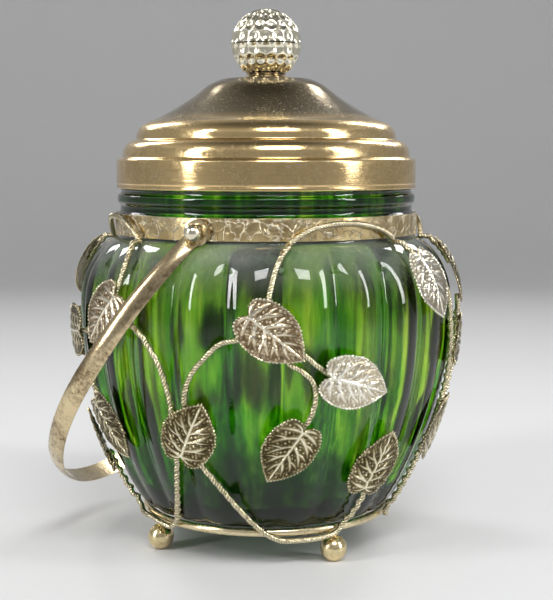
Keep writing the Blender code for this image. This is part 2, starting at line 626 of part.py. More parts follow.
def make_bail(pivot):
    """The swing handle: a domed strip bent to a bow, with a drilled round eye at each end."""
    section = bpy.data.curves.new("bail_section", "CURVE")
    section.dimensions = "2D"
    half = BAIL_WIDTH / 2
    flat = -BAIL_SHEET / 2
    edge = flat + BAIL_EDGE
    crown = BAIL_SHEET / 2
    outline = [
        (flat, -half), (flat, half), (edge, half), (crown, half / 2), (crown, -half / 2), (edge, -half),
    ]
    rail = section.splines.new("POLY")
    rail.points.add(len(outline) - 1)
    for point, (x, y) in zip(rail.points, outline):
        point.co = (x, y, 0.0, 1.0)
    rail.use_cyclic_u = True
    profile = bpy.data.objects.new("bail_section", section)
    profile.hide_render = True
    profile.display_type = "WIRE"
    CUTTERS.objects.link(profile)

    bow = bpy.data.curves.new("handle", "CURVE")
    bow.dimensions = "2D"
    bow.bevel_mode = "OBJECT"
    bow.bevel_object = profile
    bow.use_fill_caps = True
    path = bail_path()
    strip = bow.splines.new("POLY")
    strip.points.add(len(path) - 1)
    for point, (x, y) in zip(strip.points, path):
        point.co = (x, y, 0.0, 1.0)
        widening = min(y / BAIL_ARM, 1.0)
        point.radius = (BAIL_EYE_WIDTH + (BAIL_WIDTH - BAIL_EYE_WIDTH) * widening) / BAIL_WIDTH
    handle = mesh_from_curve("handle", bow, POLISHED_BRASS)
    handle.parent = pivot
    handle.rotation_euler = (-math.pi / 2 - BAIL_LEAN, 0.0, 0.0)

    for side in (1.0, -1.0):
        eye = make_eye_ring(side)
        eye.parent = handle
        apply_boolean(handle, eye, "UNION")
    return handle


def make_base_ring():
    """The round wire that the heel of the jar sits in."""
    bpy.ops.mesh.primitive_torus_add(
        major_segments=RING_STEPS, minor_segments=RING_SIDE_COUNT, major_radius=RING_RADIUS,
        minor_radius=RING_WIRE_RADIUS, location=(0.0, 0.0, RING_HEIGHT))
    ring = bpy.context.active_object
    for holder in list(ring.users_collection):
        holder.objects.unlink(ring)
    PARTS.objects.link(ring)
    ring.name = "base_ring"
    ring.data.name = "base_ring"
    ring.data.materials.append(finish_material("base_ring", *AGED_BRASS))
    ring.data.shade_smooth()
    return ring


def make_feet():
    """Ball feet soldered under the ring, each with a small flat sole."""
    top_angle = math.acos(FOOT_NECK_RADIUS / FOOT_RADIUS)
    sole_angle = math.acos(FOOT_FLAT_RADIUS / FOOT_RADIUS)
    profile = [(0.0, FOOT_TOP), (FOOT_NECK_RADIUS, FOOT_TOP)]
    for angle in spread(top_angle, -sole_angle, FOOT_RINGS):
        profile.append((FOOT_RADIUS * math.cos(angle), FOOT_CENTRE + FOOT_RADIUS * math.sin(angle)))
    profile.append((0.0, FOOT_SOLE))
    for index in range(FOOT_COUNT):
        turn = FOOT_FIRST_TURN + math.tau * index / FOOT_COUNT
        foot = turned("foot_%d" % (index + 1), profile, SMALL_STEPS, POLISHED_BRASS)
        foot.location = (RING_RADIUS * math.sin(turn), -RING_RADIUS * math.cos(turn), 0.0)


def seat_obstacles(glass_gap, metal_gap):
    """What a wire or leaf must clear, in the plane of a meridian: radius, height, distance."""
    glass = body_outline(SEAT_STEPS, SEAT_STEPS, SEAT_STEPS)
    obstacles = [(radius, height, glass_gap) for radius, height in glass]
    for height in spread(BAND_FOOT, BAND_TOP, SEAT_STEPS):
        obstacles.append((BAND_OUTER, height, metal_gap))
    obstacles.append((RING_RADIUS, RING_HEIGHT, RING_WIRE_RADIUS + metal_gap))
    return obstacles


def seat_radius(height, obstacles):
    """Smallest radius at a height that clears every obstacle, as a rolling ball would."""
    best = RING_RADIUS
    for radius, level, distance in obstacles:
        offset = abs(height - level)
        if offset < distance:
            best = max(best, radius + math.sqrt(distance ** 2 - offset ** 2))
    return best


WIRE_SEAT = seat_obstacles(WIRE_RADIUS + WIRE_LIFT, WIRE_RADIUS + SOLDER)
LEAF_MIDDLE = 2 * WIRE_RADIUS + LEAF_SEAT + LEAF_SHEET / 2
LEAF_FACE = seat_obstacles(WIRE_LIFT + LEAF_MIDDLE, SOLDER + LEAF_MIDDLE)


def smooth_route(points):
    """A Catmull-Rom curve through the places of a route, as close points."""
    ends = [points[0]] + list(points) + [points[-1]]
    route = []
    for before, start, end, after in zip(ends, ends[1:], ends[2:], ends[3:]):
        for index in range(ROUTE_STEPS):
            share = index / ROUTE_STEPS
            route.append(tuple(
                0.5 * (2 * b + (c - a) * share + (2 * a - 5 * b + 4 * c - d) * share ** 2
                       + (3 * b - a - 3 * c + d) * share ** 3)
                for a, b, c, d in zip(before, start, end, after)))
    route.append(points[-1])
    return route


def even_stretches(points):
    """Points at even distances along a close row of points."""
    travelled = [0.0]
    for start, end in zip(points, points[1:]):
        travelled.append(travelled[-1] + (end - start).length)
    count = max(2, round(travelled[-1] / WIRE_STEP))
    even = []
    place = 0
    for distance in spread(0.0, travelled[-1], count + 1):
        while place < len(points) - 2 and travelled[place + 1] < distance:
            place += 1
        share = (distance - travelled[place]) / (travelled[place + 1] - travelled[place])
        even.append(points[place].lerp(points[place + 1], share))
    return even


def round_jar(turn, radius, height):
    """A point at an angle round the jar, counted from the front towards +X."""
    return Vector((radius * math.sin(turn), -radius * math.cos(turn), height))


def make_wire(name, route_shares, spray_turn):
    """One wire of the vine frame, laid just off the glass, the band and the ring."""
    curve = bpy.data.curves.new(name, "CURVE")
    curve.dimensions = "3D"
    curve.bevel_depth = WIRE_RADIUS
    curve.bevel_resolution = 1
    curve.use_fill_caps = True
    track = []
    for degrees, height_share in smooth_route(route_shares):
        height = height_share * SHOULDER_HEIGHT
        turn = PIVOT_TURN + spray_turn + math.radians(degrees)
        track.append(round_jar(turn, seat_radius(height, WIRE_SEAT), height))
    stretches = even_stretches(track)
    spline = curve.splines.new("POLY")
    spline.points.add(len(stretches) - 1)
    for point, place in zip(spline.points, stretches):
        point.co = (*place, 1.0)
    return mesh_from_curve(name, curve, AGED_BRASS)


def climb(height, distance):
    """The height reached from another by going a distance along the meridian of the leaves."""
    stride = LEAF_STRIDE if distance > 0.0 else -LEAF_STRIDE
    left = abs(distance)
    while left > 0.0:
        slope = (seat_radius(height + stride, LEAF_FACE) - seat_radius(height, LEAF_FACE)) / stride
        run = min(left, LEAF_STRIDE)
        height += math.copysign(run / math.sqrt(1.0 + slope ** 2), stride)
        left -= run
    return height


def make_leaf(name, place_shares, spray_turn):
    """One heart-shaped leaf: a pressed sheet that follows the curve of the jar."""
    degrees, height_share, pointing = place_shares
    turn = PIVOT_TURN + spray_turn + math.radians(degrees)
    cleft_height = height_share * SHOULDER_HEIGHT
    radius_there = seat_radius(cleft_height, LEAF_FACE)
    along_way = Vector((math.cos(math.radians(pointing)), math.sin(math.radians(pointing))))
    across_way = Vector((-along_way.y, along_way.x))
    rows = len(LEAF_OUTLINE_SHARES)
    columns = len(LEAF_COLUMN_SHARES)
    form = bmesh.new()
    grid = bmesh.ops.create_grid(form, x_segments=columns - 1, y_segments=rows - 1, size=1.0)
    for vertex in grid["verts"]:
        column = round((vertex.co.x + 1.0) / 2.0 * (columns - 1))
        row = round((vertex.co.y + 1.0) / 2.0 * (rows - 1))
        across_share = LEAF_COLUMN_SHARES[column]
        along_share, width_share = LEAF_OUTLINE_SHARES[row]
        reach_back = LEAF_LOBE_REACH * (1.0 - along_share) * math.sin(abs(across_share) * math.pi) ** 2
        edge_forward = LEAF_EDGE_FORWARD * (1.0 - along_share) * across_share ** 4
        along = LEAF_LENGTH * along_share - reach_back + edge_forward
        across = LEAF_HALF_WIDTH * width_share * across_share
        rise = LEAF_RIB_RISE * (1.0 - abs(across_share)) * width_share
        flat = along_way * along + across_way * across
        height = climb(cleft_height, flat.y)
        radius = seat_radius(height, LEAF_FACE)
        vertex.co = round_jar(turn + flat.x / radius_there, radius + rise, height)
    bmesh.ops.remove_doubles(form, verts=form.verts, dist=MERGE)
    mesh = bpy.data.meshes.new(name)
    form.to_mesh(mesh)
    form.free()
    leaf = add_part(name, mesh, AGED_BRASS)
    sheet = leaf.modifiers.new("sheet", "SOLIDIFY")
    sheet.thickness = LEAF_SHEET
    sheet.offset = 0.0
    return frozen(leaf)


def make_sprays():
    """The vine frame: a spray of wires and leaves at the front, and its copy half a turn round."""
    for index in range(SPRAY_COUNT):
        spray_turn = math.tau * index / SPRAY_COUNT
        label = "_%d" % (index + 1)
        for name, route_shares in WIRE_ROUTE_SHARES.items():
            make_wire("vine_" + name + label, route_shares, spray_turn)
        for name, place_shares in LEAF_PLACE_SHARES.items():
            make_leaf("leaf_" + name + label, place_shares, spray_turn)


def main():
    """Build every part of the jar."""
    make_glass_jar()
    make_lid()
    make_knob()
    make_neck_band()
    pivot = make_pivot()
    make_pivot_hardware(pivot)
    make_bail(pivot)
    make_base_ring()
    make_feet()
    make_sprays()


main()
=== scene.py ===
"""Looks of the biscuit jar: glass, spun lid, dimpled knob, swing bail and vine frame.

Shapes are in millimetres, in the frame of the CAD model: the origin is the centre of the jar's
flat underside, +Z is up and the front faces -Y. Angles round the jar are counted from the front
towards +X. Materials, lamps and the camera are in metres.
"""
import math

import bmesh
import bpy
import numpy as np
from mathutils import Matrix, Vector


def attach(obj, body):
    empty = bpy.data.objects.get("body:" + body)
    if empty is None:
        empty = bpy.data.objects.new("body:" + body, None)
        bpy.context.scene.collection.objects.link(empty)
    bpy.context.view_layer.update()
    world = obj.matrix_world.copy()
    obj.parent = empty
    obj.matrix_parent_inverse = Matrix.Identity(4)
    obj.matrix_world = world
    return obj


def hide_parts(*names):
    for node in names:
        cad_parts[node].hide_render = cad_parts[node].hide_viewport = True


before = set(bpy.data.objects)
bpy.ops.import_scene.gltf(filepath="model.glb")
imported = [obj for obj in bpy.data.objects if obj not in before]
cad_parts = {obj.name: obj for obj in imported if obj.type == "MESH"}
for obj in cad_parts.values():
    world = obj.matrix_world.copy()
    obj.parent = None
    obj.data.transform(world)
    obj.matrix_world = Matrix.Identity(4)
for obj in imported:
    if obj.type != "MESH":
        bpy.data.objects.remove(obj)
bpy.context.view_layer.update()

MM = 0.001
TAU = math.tau
CLEAR = 0.3  # gap between pieces that touch
SOLDER = 0.8  # gap between the wires and the metal they are soldered to
MERGE = 0.002  # points closer than this are one point

# Sizes of the jar
HEEL_FLAT = 47.0
HEEL_ROUND = 4.5
HEEL_SWEEP = math.radians(60)
HEEL_LOBE_SHARE = 0.35
BELLY_RADIUS = 74.5
BELLY_HEIGHT = 79.0
BELLY_POWER = 0.85
SHOULDER_HEIGHT = 107.2
SHOULDER_POWER = 2.3
SHOULDER_SOFTNESS = 0.65
NECK_RADIUS = 59.4
GROOVE_HEIGHT = 2.2
BEAD_HEIGHT = 6.8
RIM_RADIUS = 57.4
RIM_HEIGHT = 7.6
WALL = 3.6
FLOOR = 7.0
CAVITY_TOP = 104.5  # where the inside of the belly turns into the neck
LOBE_COUNT = 22
LOBE_DEPTH = 3.0
FIRST_GROOVE = math.radians(5)
GROOVE_SOFTNESS = 0.06
INNER_WAVE = 1.0  # depth of the lobes on the inside of the wall

# Sizes of the green layer
LAYER_FOOT = 5.4
LAYER_SKIN = 1.2  # clear glass outside the layer
LAYER_LINING = 0.25  # clear glass inside it
LAYER_TOP = 131.0

# Sizes of the band, the pivots and the bail
BAND_FOOT_GAP = 1.2
BAND_HEIGHT = 8.3
BAND_SHEET = 0.5
LAP_HALF_SWEEP = math.radians(6.5)
PIVOT_TURN = math.radians(-23)
PIVOT_SHARE = 0.39  # place of the pivots up the band
RIVET_BALL = 3.3
RIVET_SEAT = 2.3
SHANK_RADIUS = 1.3
WASHER_RADIUS = 3.6
WASHER_SHEET = 1.0
EYE_RADIUS = 5.1
BAIL_SHEET = 1.2
BAIL_SIDE_GAP = 6.5
BAIL_STRAIGHT = 3.0
BAIL_ARM_SHARE = 1.87
BAIL_REST_HEIGHT = 3.4
BAIL_BOW_POWER = 2.5
BAIL_LEAN = math.radians(35.3)
BAIL_NECK_HALF = 3.0  # half width of the strip beside its eye
BAIL_HALF_GROWTH = 0.95  # how much wider it gets down its arm
BAIL_DOME_RUN = 12.0  # length over which its front turns from flat to domed

# Sizes of the lid and the knob
LID_HEIGHT = 42.9
LID_RADIUS = 59.6
LID_SHEET = 0.9
COLLAR_HEIGHT = 2.0
SCREW_RADIUS = 1.6
SCREW_HOLE_DEPTH = 8.6
KNOB_RADIUS = 13.8
KNOB_SEAT = 8.2
DIMPLE_DEPTH = 0.85
DIMPLE_ROWS = (9.6, 28.8, 48.0, 67.2)  # degrees off the seam
DIMPLE_STEP = 20.0  # degrees round the ball from one dimple to the next
DIMPLE_REACH = 9.0  # half a dimple's height, in degrees
DIMPLE_REACH_SHARE = 0.46  # half its width, in steps

# Sizes of the ring and the feet
RING_RADIUS = 48.8
RING_WIRE = 1.55
RING_HEIGHT = -1.593
FOOT_TOP = -3.443
FOOT_CENTRE = -9.647
FOOT_RADIUS = 5.1
FOOT_NECK = 1.4
FOOT_FLAT = 1.2
FOOT_SOLE = -14.6
FOOT_COUNT = 4
FOOT_FIRST_TURN = math.radians(32)

# Sizes of the vine frame
WIRE_RADIUS = 1.05
WIRE_LIFT = 1.2  # air between the wires and the glass
LEAF_SEAT = 0.4  # gap between a leaf and the wire behind it
LEAF_SHEET = 0.6
ROPE_RADIUS = 1.02
ROPE_PITCH = 3.2
ROPE_STRANDS = 3
ROPE_SIDES = 15
ROPE_STEP = 0.24
SPRAY_COUNT = 2

# Places that follow from these sizes
BAND_FOOT = SHOULDER_HEIGHT + BAND_FOOT_GAP
BAND_TOP = BAND_FOOT + BAND_HEIGHT
BAND_INNER = NECK_RADIUS + CLEAR
BAND_OUTER = BAND_INNER + BAND_SHEET
PIVOT_HEIGHT = BAND_FOOT + BAND_HEIGHT * PIVOT_SHARE
BEAD_TOP = BAND_TOP + CLEAR + GROOVE_HEIGHT + BEAD_HEIGHT
RIM_TOP = BEAD_TOP + RIM_HEIGHT
RIM_INNER = RIM_RADIUS - WALL
LID_FOOT = BEAD_TOP + CLEAR
LID_TOP = LID_FOOT + LID_HEIGHT
COLLAR_FOOT = LID_TOP + CLEAR
COLLAR_TOP = COLLAR_FOOT + COLLAR_HEIGHT
KNOB_FOOT = COLLAR_TOP + CLEAR
KNOB_CENTRE = KNOB_FOOT + math.sqrt(KNOB_RADIUS ** 2 - KNOB_SEAT ** 2)
SCREW_HOLE = SCREW_RADIUS + CLEAR
WASHER_INNER = BAND_OUTER + BAND_SHEET + CLEAR
WASHER_OUTER = WASHER_INNER + WASHER_SHEET
EYE_INNER = WASHER_OUTER + CLEAR
EYE_OUTER = EYE_INNER + BAIL_SHEET
EYE_HOLE = SHANK_RADIUS + CLEAR
LEAF_MIDDLE = 2 * WIRE_RADIUS + LEAF_SEAT + LEAF_SHEET / 2


# Materials

GOLD = (0.86, 0.63, 0.31)
# Painted dark reflection: the colour that the lid's upper part is painted towards.
PAINTED_DARK_REFLECTION = (0.18, 0.145, 0.09)
DUST = (0.93, 0.88, 0.74)


def add(tree, kind, settings=None, **inputs):
    """A shader node with its settings, values and links. Inputs i0, i1 and so on go by place."""
    node = tree.nodes.new("ShaderNode" + kind)
    for key, value in (settings or {}).items():
        setattr(node, key, value)
    for key, value in inputs.items():
        by_place = key[0] == "i" and key[1:].isdigit()
        socket = node.inputs[int(key[1:]) if by_place else key]
        if isinstance(value, bpy.types.NodeSocket):
            tree.links.new(value, socket)
        else:
            socket.default_value = value
    return node


def colour_ramp(tree, value, *stops):
    """A colour, or a grey given as one number, for each place along a value."""
    node = add(tree, "ValToRGB", Fac=value)
    points = node.color_ramp.elements
    while len(points) < len(stops):
        points.new(0.5)
    for point, (position, colour) in zip(points, stops):
        if not isinstance(colour, tuple):
            colour = (colour, colour, colour)
        point.position = position
        point.color = (*colour, 1.0)
    return node.outputs[0]


class Finish:
    """A procedural material on object coordinates."""

    def __init__(self, name, roughness=0.2, metallic=1.0):
        self.material = bpy.data.materials.new(name)
        self.material.use_nodes = True
        self.tree = self.material.node_tree
        self.shader = self.tree.nodes["Principled BSDF"]
        self.place = add(self.tree, "TexCoord").outputs["Object"]
        self.fix("Roughness", roughness)
        self.fix("Metallic", metallic)

    def fix(self, name, value):
        """Set a value of the shader that is the same all over."""
        self.shader.inputs[name].default_value = value

    def set(self, name, source):
        """Drive a value of the shader by a socket."""
        self.tree.links.new(source, self.shader.inputs[name])

    def noise(self, scale, detail=3.0, rough=0.5, source=None, stretch=(1, 1, 1)):
        vector = add(self.tree, "Mapping", Vector=source or self.place, Scale=stretch).outputs[0]
        return add(self.tree, "TexNoise", Vector=vector, Scale=scale, Detail=detail,
                   Roughness=rough).outputs[0]

    def cells(self, scale, feature="F1", source=None):
        return add(self.tree, "TexVoronoi", {"feature": feature}, Vector=source or self.place,
                   Scale=scale).outputs["Distance"]

    def attribute(self, name):
        """A number stored on the points of the mesh."""
        settings = {"attribute_type": "GEOMETRY", "attribute_name": name}
        return add(self.tree, "Attribute", settings).outputs["Fac"]

    def ramp(self, value, *stops):
        return colour_ramp(self.tree, value, *stops)

    def span(self, value, low, high, to_low=0.0, to_high=1.0):
        """The range from low to high stretched to another one, and held beyond its ends."""
        return add(self.tree, "MapRange", i0=value, i1=low, i2=high, i3=to_low, i4=to_high).outputs[0]

    def calc(self, operation, a, b=0.0):
        return add(self.tree, "Math", {"operation": operation}, i0=a, i1=b).outputs[0]

    def times(self, first, *others):
        for other in others:
            first = self.calc("MULTIPLY", first, other)
        return first

    def plus(self, first, *others):
        for other in others:
            first = self.calc("ADD", first, other)
        return first

    def mix(self, share, a, b):
        """From a to b, each a socket or a colour."""
        a, b = (end if isinstance(end, bpy.types.NodeSocket) else (*end, 1.0) for end in (a, b))
        return add(self.tree, "Mix", {"data_type": "RGBA"}, i0=share, i6=a, i7=b).outputs[2]

    def bump(self, height, strength, distance, before=None):
        node = add(self.tree, "Bump", Height=height, Strength=strength, Distance=distance)
        if before is not None:
            self.tree.links.new(before, node.inputs["Normal"])
        return node.outputs[0]

    def height(self):
        return add(self.tree, "SeparateXYZ", Vector=self.place).outputs[2]

    def around(self):
        """Coordinates of radius and height, the same all round the axis."""
        parts = add(self.tree, "SeparateXYZ", Vector=self.place)
        x, y, z = parts.outputs
        square = self.plus(self.times(x, x), self.times(y, y))
        return add(self.tree, "CombineXYZ", X=self.calc("SQRT", square), Y=z).outputs[0]


def brass(name, clean, worn, roughness, wear, grain=0.0006, fine=900.0, spun=False, aged_and_painted_dark=None):
    """Brass with patches of wear, small pits and polishing marks.

    Grain is the depth of the marks and fine their scale. The last argument gives the two heights between
    which the metal is painted dark, a painted dark reflection, and how far it goes; it also adds specks of
    dust.
    """
    f = Finish(name)
    patches = f.noise(55.0, 6.0, 0.6)
    specks = f.noise(700.0, 3.0, 0.7)
    mask = f.ramp(f.times(patches, f.span(specks, 0.3, 0.7, 0.75, 1.25)), (0.42, 0.0), (0.70, 1.0))
    tone = f.mix(f.times(mask, wear), clean, worn)
    if aged_and_painted_dark:
        low, high, share = aged_and_painted_dark
        # Painted dark reflection: above the first height the metal is painted darker, up to the given share
        # at the second.
        tone = f.mix(f.span(f.height(), low * MM, high * MM, 0.0, share), tone, PAINTED_DARK_REFLECTION)
        dots = f.ramp(f.noise(1500.0, 2.0), (0.62, 0.0), (0.68, 1.0))
        places = f.span(f.noise(45.0, 3.0), 0.40, 0.62, 0.1, 1.0)
        tone = f.mix(f.times(dots, places), tone, DUST)
    f.set("Base Color", tone)
    f.set("Roughness", f.plus(f.span(mask, 0.0, 1.0, roughness, roughness + 0.16),
                              f.span(specks, 0.35, 0.75, -0.02, 0.06)))
    marks = f.noise(fine, 2.0, 0.6, source=f.around() if spun else None)
    normal = f.bump(marks, 0.10, grain)
    f.set("Normal", f.bump(f.noise(60.0, 2.0), 0.10, 0.0015, normal))
    return f


def glass_finish():
    """Clear outer glass, a little wavy, with dust on its shoulder and a duller inside."""
    f = Finish("clear_glass", 0.015, 0.0)
    dust = f.ramp(f.noise(1300.0, 2.0), (0.60, 0.0), (0.72, 1.0))
    film = f.span(f.noise(35.0, 4.0), 0.45, 0.7)
    outside = f.span(f.times(dust, film), 0.0, 1.0, 0.012, 0.16)
    f.set("Roughness", f.calc("MAXIMUM", outside, f.times(f.attribute("inside"), 0.18)))
    tint = f.ramp(f.noise(18.0, 2.0), (0.3, (0.955, 0.98, 0.955)), (0.7, (0.98, 0.995, 0.98)))
    f.set("Base Color", tint)
    height = f.height()
    shoulder = f.times(f.span(height, 0.090, 0.103), f.span(height, 0.1075, 0.109, 1.0, 0.0))
    specks = f.ramp(f.noise(1700.0, 3.0, 0.7), (0.50, 0.35), (0.66, 1.0))
    haze = f.times(shoulder, specks, f.span(f.noise(60.0, 4.0), 0.35, 0.65, 0.3, 1.0))
    f.set("Transmission Weight", f.span(haze, 0.0, 1.0, 1.0, 0.72))
    f.fix("IOR", 1.5)
    f.fix("Specular IOR Level", 0.33)
    ripple = f.noise(34.0, 2.0, 0.5, stretch=(1, 1, 0.25))
    f.set("Normal", f.bump(ripple, 0.35, 0.0012))
    volume = add(f.tree, "VolumeAbsorption", Color=(0.50, 0.78, 0.46, 1.0), Density=22.0)
    f.tree.links.new(volume.outputs[0], f.tree.nodes["Material Output"].inputs["Volume"])
    return f


def layer_finish():
    """The green layer inside the wall, with upright streaks of light and dark.

    Its colour holds painted shade at the floor, in the grooves and at the neck, painted light up the belly,
    and a painted grey shade where the shoulder is.
    """
    f = Finish("green_layer", 0.0, 0.0)
    streaks = f.noise(110.0, 3.0, 0.55, stretch=(1, 1, 0.06))
    threads = f.noise(420.0, 2.0, 0.6, stretch=(1, 1, 0.035))
    clouds = f.noise(30.0, 3.0)
    height = f.height()
    # Painted shade at the floor and low on the belly, and painted light higher up it.
    belly = f.plus(f.span(height, 0.0065, 0.0095, -0.20, 0.0),
                   f.span(height, 0.014, 0.062, -0.072, 0.036))
    # Painted shade at the neck.
    neck = f.span(height, 0.108, 0.112, 0.0, -0.12)
    # Painted shade in the grooves, and painted light on the crests.
    crest = f.span(f.attribute("crest"), 0.1, 0.9, -0.055, 0.025)
    amount = f.plus(f.times(streaks, 0.55), f.times(threads, 0.33), f.times(clouds, 0.12),
                    belly, neck, crest)
    green = f.ramp(amount, (0.39, (0.018, 0.20, 0.005)), (0.475, (0.21, 0.60, 0.03)),
                   (0.55, (0.78, 0.95, 0.24)))
    # Where the tint falls away on the shoulder, the layer turns grey: painted shade in place of clear
    # glass.
    f.set("Base Color", f.mix(f.attribute("tint"), (0.38, 0.43, 0.38), green))
    f.fix("Transmission Weight", 1.0)
    f.fix("IOR", 1.0)
    return f


def pressed_finish(name, bright, middle, dark):
    """Pressed brass, darker in the recesses and lighter on the raised lines and beads. On the leaves this
    is patina and rubbing, and also painted shade in the recesses and painted highlights on the tops.
    """
    f = Finish(name, 0.3)
    patches = f.noise(150.0, 4.0, 0.6)
    level = f.plus(f.attribute("relief"), f.span(patches, 0.3, 0.7, -0.16, 0.16))
    # Colour by relief, darker low and lighter high. On the leaves this is partly patina and rubbing, and
    # partly painted shade and painted highlights.
    f.set("Base Color", f.ramp(level, (0.04, dark), (0.42, middle), (0.84, bright)))
    f.set("Roughness", f.span(level, 0.1, 0.8, 0.30, 0.11))
    hammered = f.ramp(f.cells(1250.0), (0.1, 1.0), (0.6, 0.0))
    f.set("Normal", f.bump(f.noise(1500.0, 2.0), 0.12, 0.0003, f.bump(hammered, 0.30, 0.0003)))
    return f


def crackle_finish():
    """The embossed strip round the neck: thin pale cracks on worn gold."""
    f = Finish("crackle_brass")
    bent = f.times(f.noise(300.0, 4.0, 0.7), 0.0045)
    moved = add(f.tree, "VectorMath", {"operation": "ADD"}, i0=f.place, i1=bent).outputs[0]
    wide = f.ramp(f.cells(210.0, "DISTANCE_TO_EDGE", moved), (0.0, 1.0), (0.035, 0.0))
    small = f.ramp(f.cells(480.0, "DISTANCE_TO_EDGE", moved), (0.0, 0.9), (0.05, 0.0))
    places = f.ramp(f.noise(150.0, 2.0), (0.50, 0.0), (0.60, 1.0))
    net = f.calc("MAXIMUM", wide, f.times(small, places))
    patches = f.noise(120.0, 5.0, 0.6)
    ground = f.ramp(patches, (0.36, (0.40, 0.29, 0.13)), (0.62, (0.80, 0.64, 0.34)))
    f.set("Base Color", f.mix(net, ground, (0.95, 0.91, 0.76)))
    f.set("Roughness", f.span(patches, 0.35, 0.65, 0.30, 0.18))
    f.set("Normal", f.bump(patches, 0.35, 0.0007, f.bump(net, 0.7, 0.0003)))
    return f


def steel_finish():
    """Turned steel with fine marks round its axis."""
    f = Finish("worked_steel", 0.3)
    marks = f.noise(900.0, 3.0, source=f.around())
    tone = f.ramp(f.noise(220.0, 4.0), (0.35, (0.42, 0.41, 0.40)), (0.65, (0.66, 0.65, 0.63)))
    f.set("Base Color", tone)
    f.set("Roughness", f.span(marks, 0.3, 0.7, 0.22, 0.42))
    f.set("Normal", f.bump(marks, 0.2, 0.0003))
    return f


def paper_finish():
    """The pale paper that the jar stands on, painted a little darker far away: painted shade."""
    f = Finish("sweep_paper", 0.6, 0.0)
    far = add(f.tree, "SeparateXYZ", Vector=f.around()).outputs[0]
    paper = f.ramp(f.noise(3.0, 2.0), (0.3, (0.735, 0.735, 0.74)), (0.7, (0.76, 0.76, 0.765)))
    # Painted shade: the paper is painted darker from 0.35 to 1.2 m out.
    f.set("Base Color", f.mix(f.span(far, 0.35, 1.2), paper, (0.68, 0.68, 0.685)))
    return f


# Modelling

def new_object(name, data):
    item = bpy.data.objects.new(name, data)
    bpy.context.scene.collection.objects.link(item)
    return item


def build(name, points, faces, finish, layers=None, sharp=38.0):
    """A mesh object from points in millimetres, merged where they meet, normals outward."""
    form = bmesh.new()
    for key in layers or ():
        form.verts.layers.float.new(key)
    corners = [form.verts.new(point) for point in np.asarray(points, float) * MM]
    for key, values in (layers or {}).items():
        layer = form.verts.layers.float[key]
        for corner, value in zip(corners, np.ravel(values)):
            corner[layer] = float(value)
    for face in faces:
        form.faces.new([corners[index] for index in face])
    bmesh.ops.remove_doubles(form, verts=form.verts, dist=MERGE * MM)
    bmesh.ops.recalc_face_normals(form, faces=form.faces)
    mesh = bpy.data.meshes.new(name)
    form.to_mesh(mesh)
    form.free()
    mesh.shade_smooth()
    mesh.set_sharp_from_angle(angle=math.radians(sharp))
    mesh.materials.append(finish.material)
    return new_object(name, mesh)


def stands_for(piece, node, body):
    """The piece rides on a body in place of a CAD node."""
    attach(piece, body)
    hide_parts(node)


def rounded(points, radius, count, closed=False):
    """A chain of points with its corners rounded. A third number in a point is its own radius."""
    total = len(points)
    result = []
    for index, point in enumerate(points):
        here = np.array(point[:2], float)
        size = point[2] if len(point) > 2 else radius
        if not closed and index in (0, total - 1):
            result.append(tuple(here))
            continue
        before = np.array(points[index - 1][:2], float) - here
        after = np.array(points[(index + 1) % total][:2], float) - here
        lengths = np.linalg.norm(before), np.linalg.norm(after)
        reach = min(size, 0.45 * lengths[0], 0.45 * lengths[1])
        start = here + before / lengths[0] * reach
        end = here + after / lengths[1] * reach
        for share in np.linspace(0, 1, count + 1):
            middle = 2 * here * share * (1 - share)
            result.append(tuple(start * (1 - share) ** 2 + middle + end * share ** 2))
    return result


def unit(vectors):
    """The same directions with length 1."""
    return vectors / np.linalg.norm(vectors, axis=1)[:, None]


def distances(points):
    """How far each point of a chain lies along it."""
    return np.concatenate([[0], np.cumsum(np.linalg.norm(np.diff(points, axis=0), axis=1))])


def polar(radius, turn, height):
    """Points at a radius, a turn from the front and a height."""
    return np.stack([radius * np.sin(turn), -radius * np.cos(turn), height], axis=-1)


def offset_chain(points, distance):
    """A chain moved to its left by a distance, corners mitred."""
    chain = np.array([point[:2] for point in points], float)
    step = np.diff(chain, axis=0)
    side = unit(np.stack([-step[:, 1], step[:, 0]], 1))
    result = [chain[0] + side[0] * distance]
    for k in range(1, len(chain) - 1):
        way = side[k - 1] + side[k]
        way /= np.linalg.norm(way)
        result.append(chain[k] + way * distance / max(0.35, way @ side[k]))
    result.append(chain[-1] + side[-1] * distance)
    return [tuple(point) for point in result]


def smooth_route(points, count=24):
    """A Catmull-Rom curve through points."""
    ends = np.array([points[0], *points, points[-1]], float)
    share = np.linspace(0, 1, count, endpoint=False)[:, None]
    pieces = []
    for a, b, c, d in zip(ends, ends[1:], ends[2:], ends[3:]):
        pieces.append(0.5 * (2 * b + (c - a) * share + (2 * a - 5 * b + 4 * c - d) * share ** 2
                             + (3 * b - a - 3 * c + d) * share ** 3))
    return np.concatenate(pieces + [ends[-1:]])


def even(points, step):
    """Points at even distances along a chain, and those distances."""
    lengths = distances(points)
    count = max(2, int(round(lengths[-1] / step)) + 1)
    places = np.linspace(0, lengths[-1], count)
    return np.stack([np.interp(places, lengths, column) for column in points.T], 1), places


def circle(steps):
    """Even turns all round the axis."""
    return np.arange(steps) / steps * TAU


def ring_faces(rows, count, start=0):
    """The faces between rows that are closed rings of count points."""
    return [(start + k * count + i, start + (k + 1) * count + i,
             start + (k + 1) * count + (i + 1) % count, start + k * count + (i + 1) % count)
            for k in range(rows - 1) for i in range(count)]


def end_faces(rows, count):
    """The two ends of a tube of such rows."""
    return [tuple(range(count)), tuple((rows - 1) * count + i for i in range(count))]


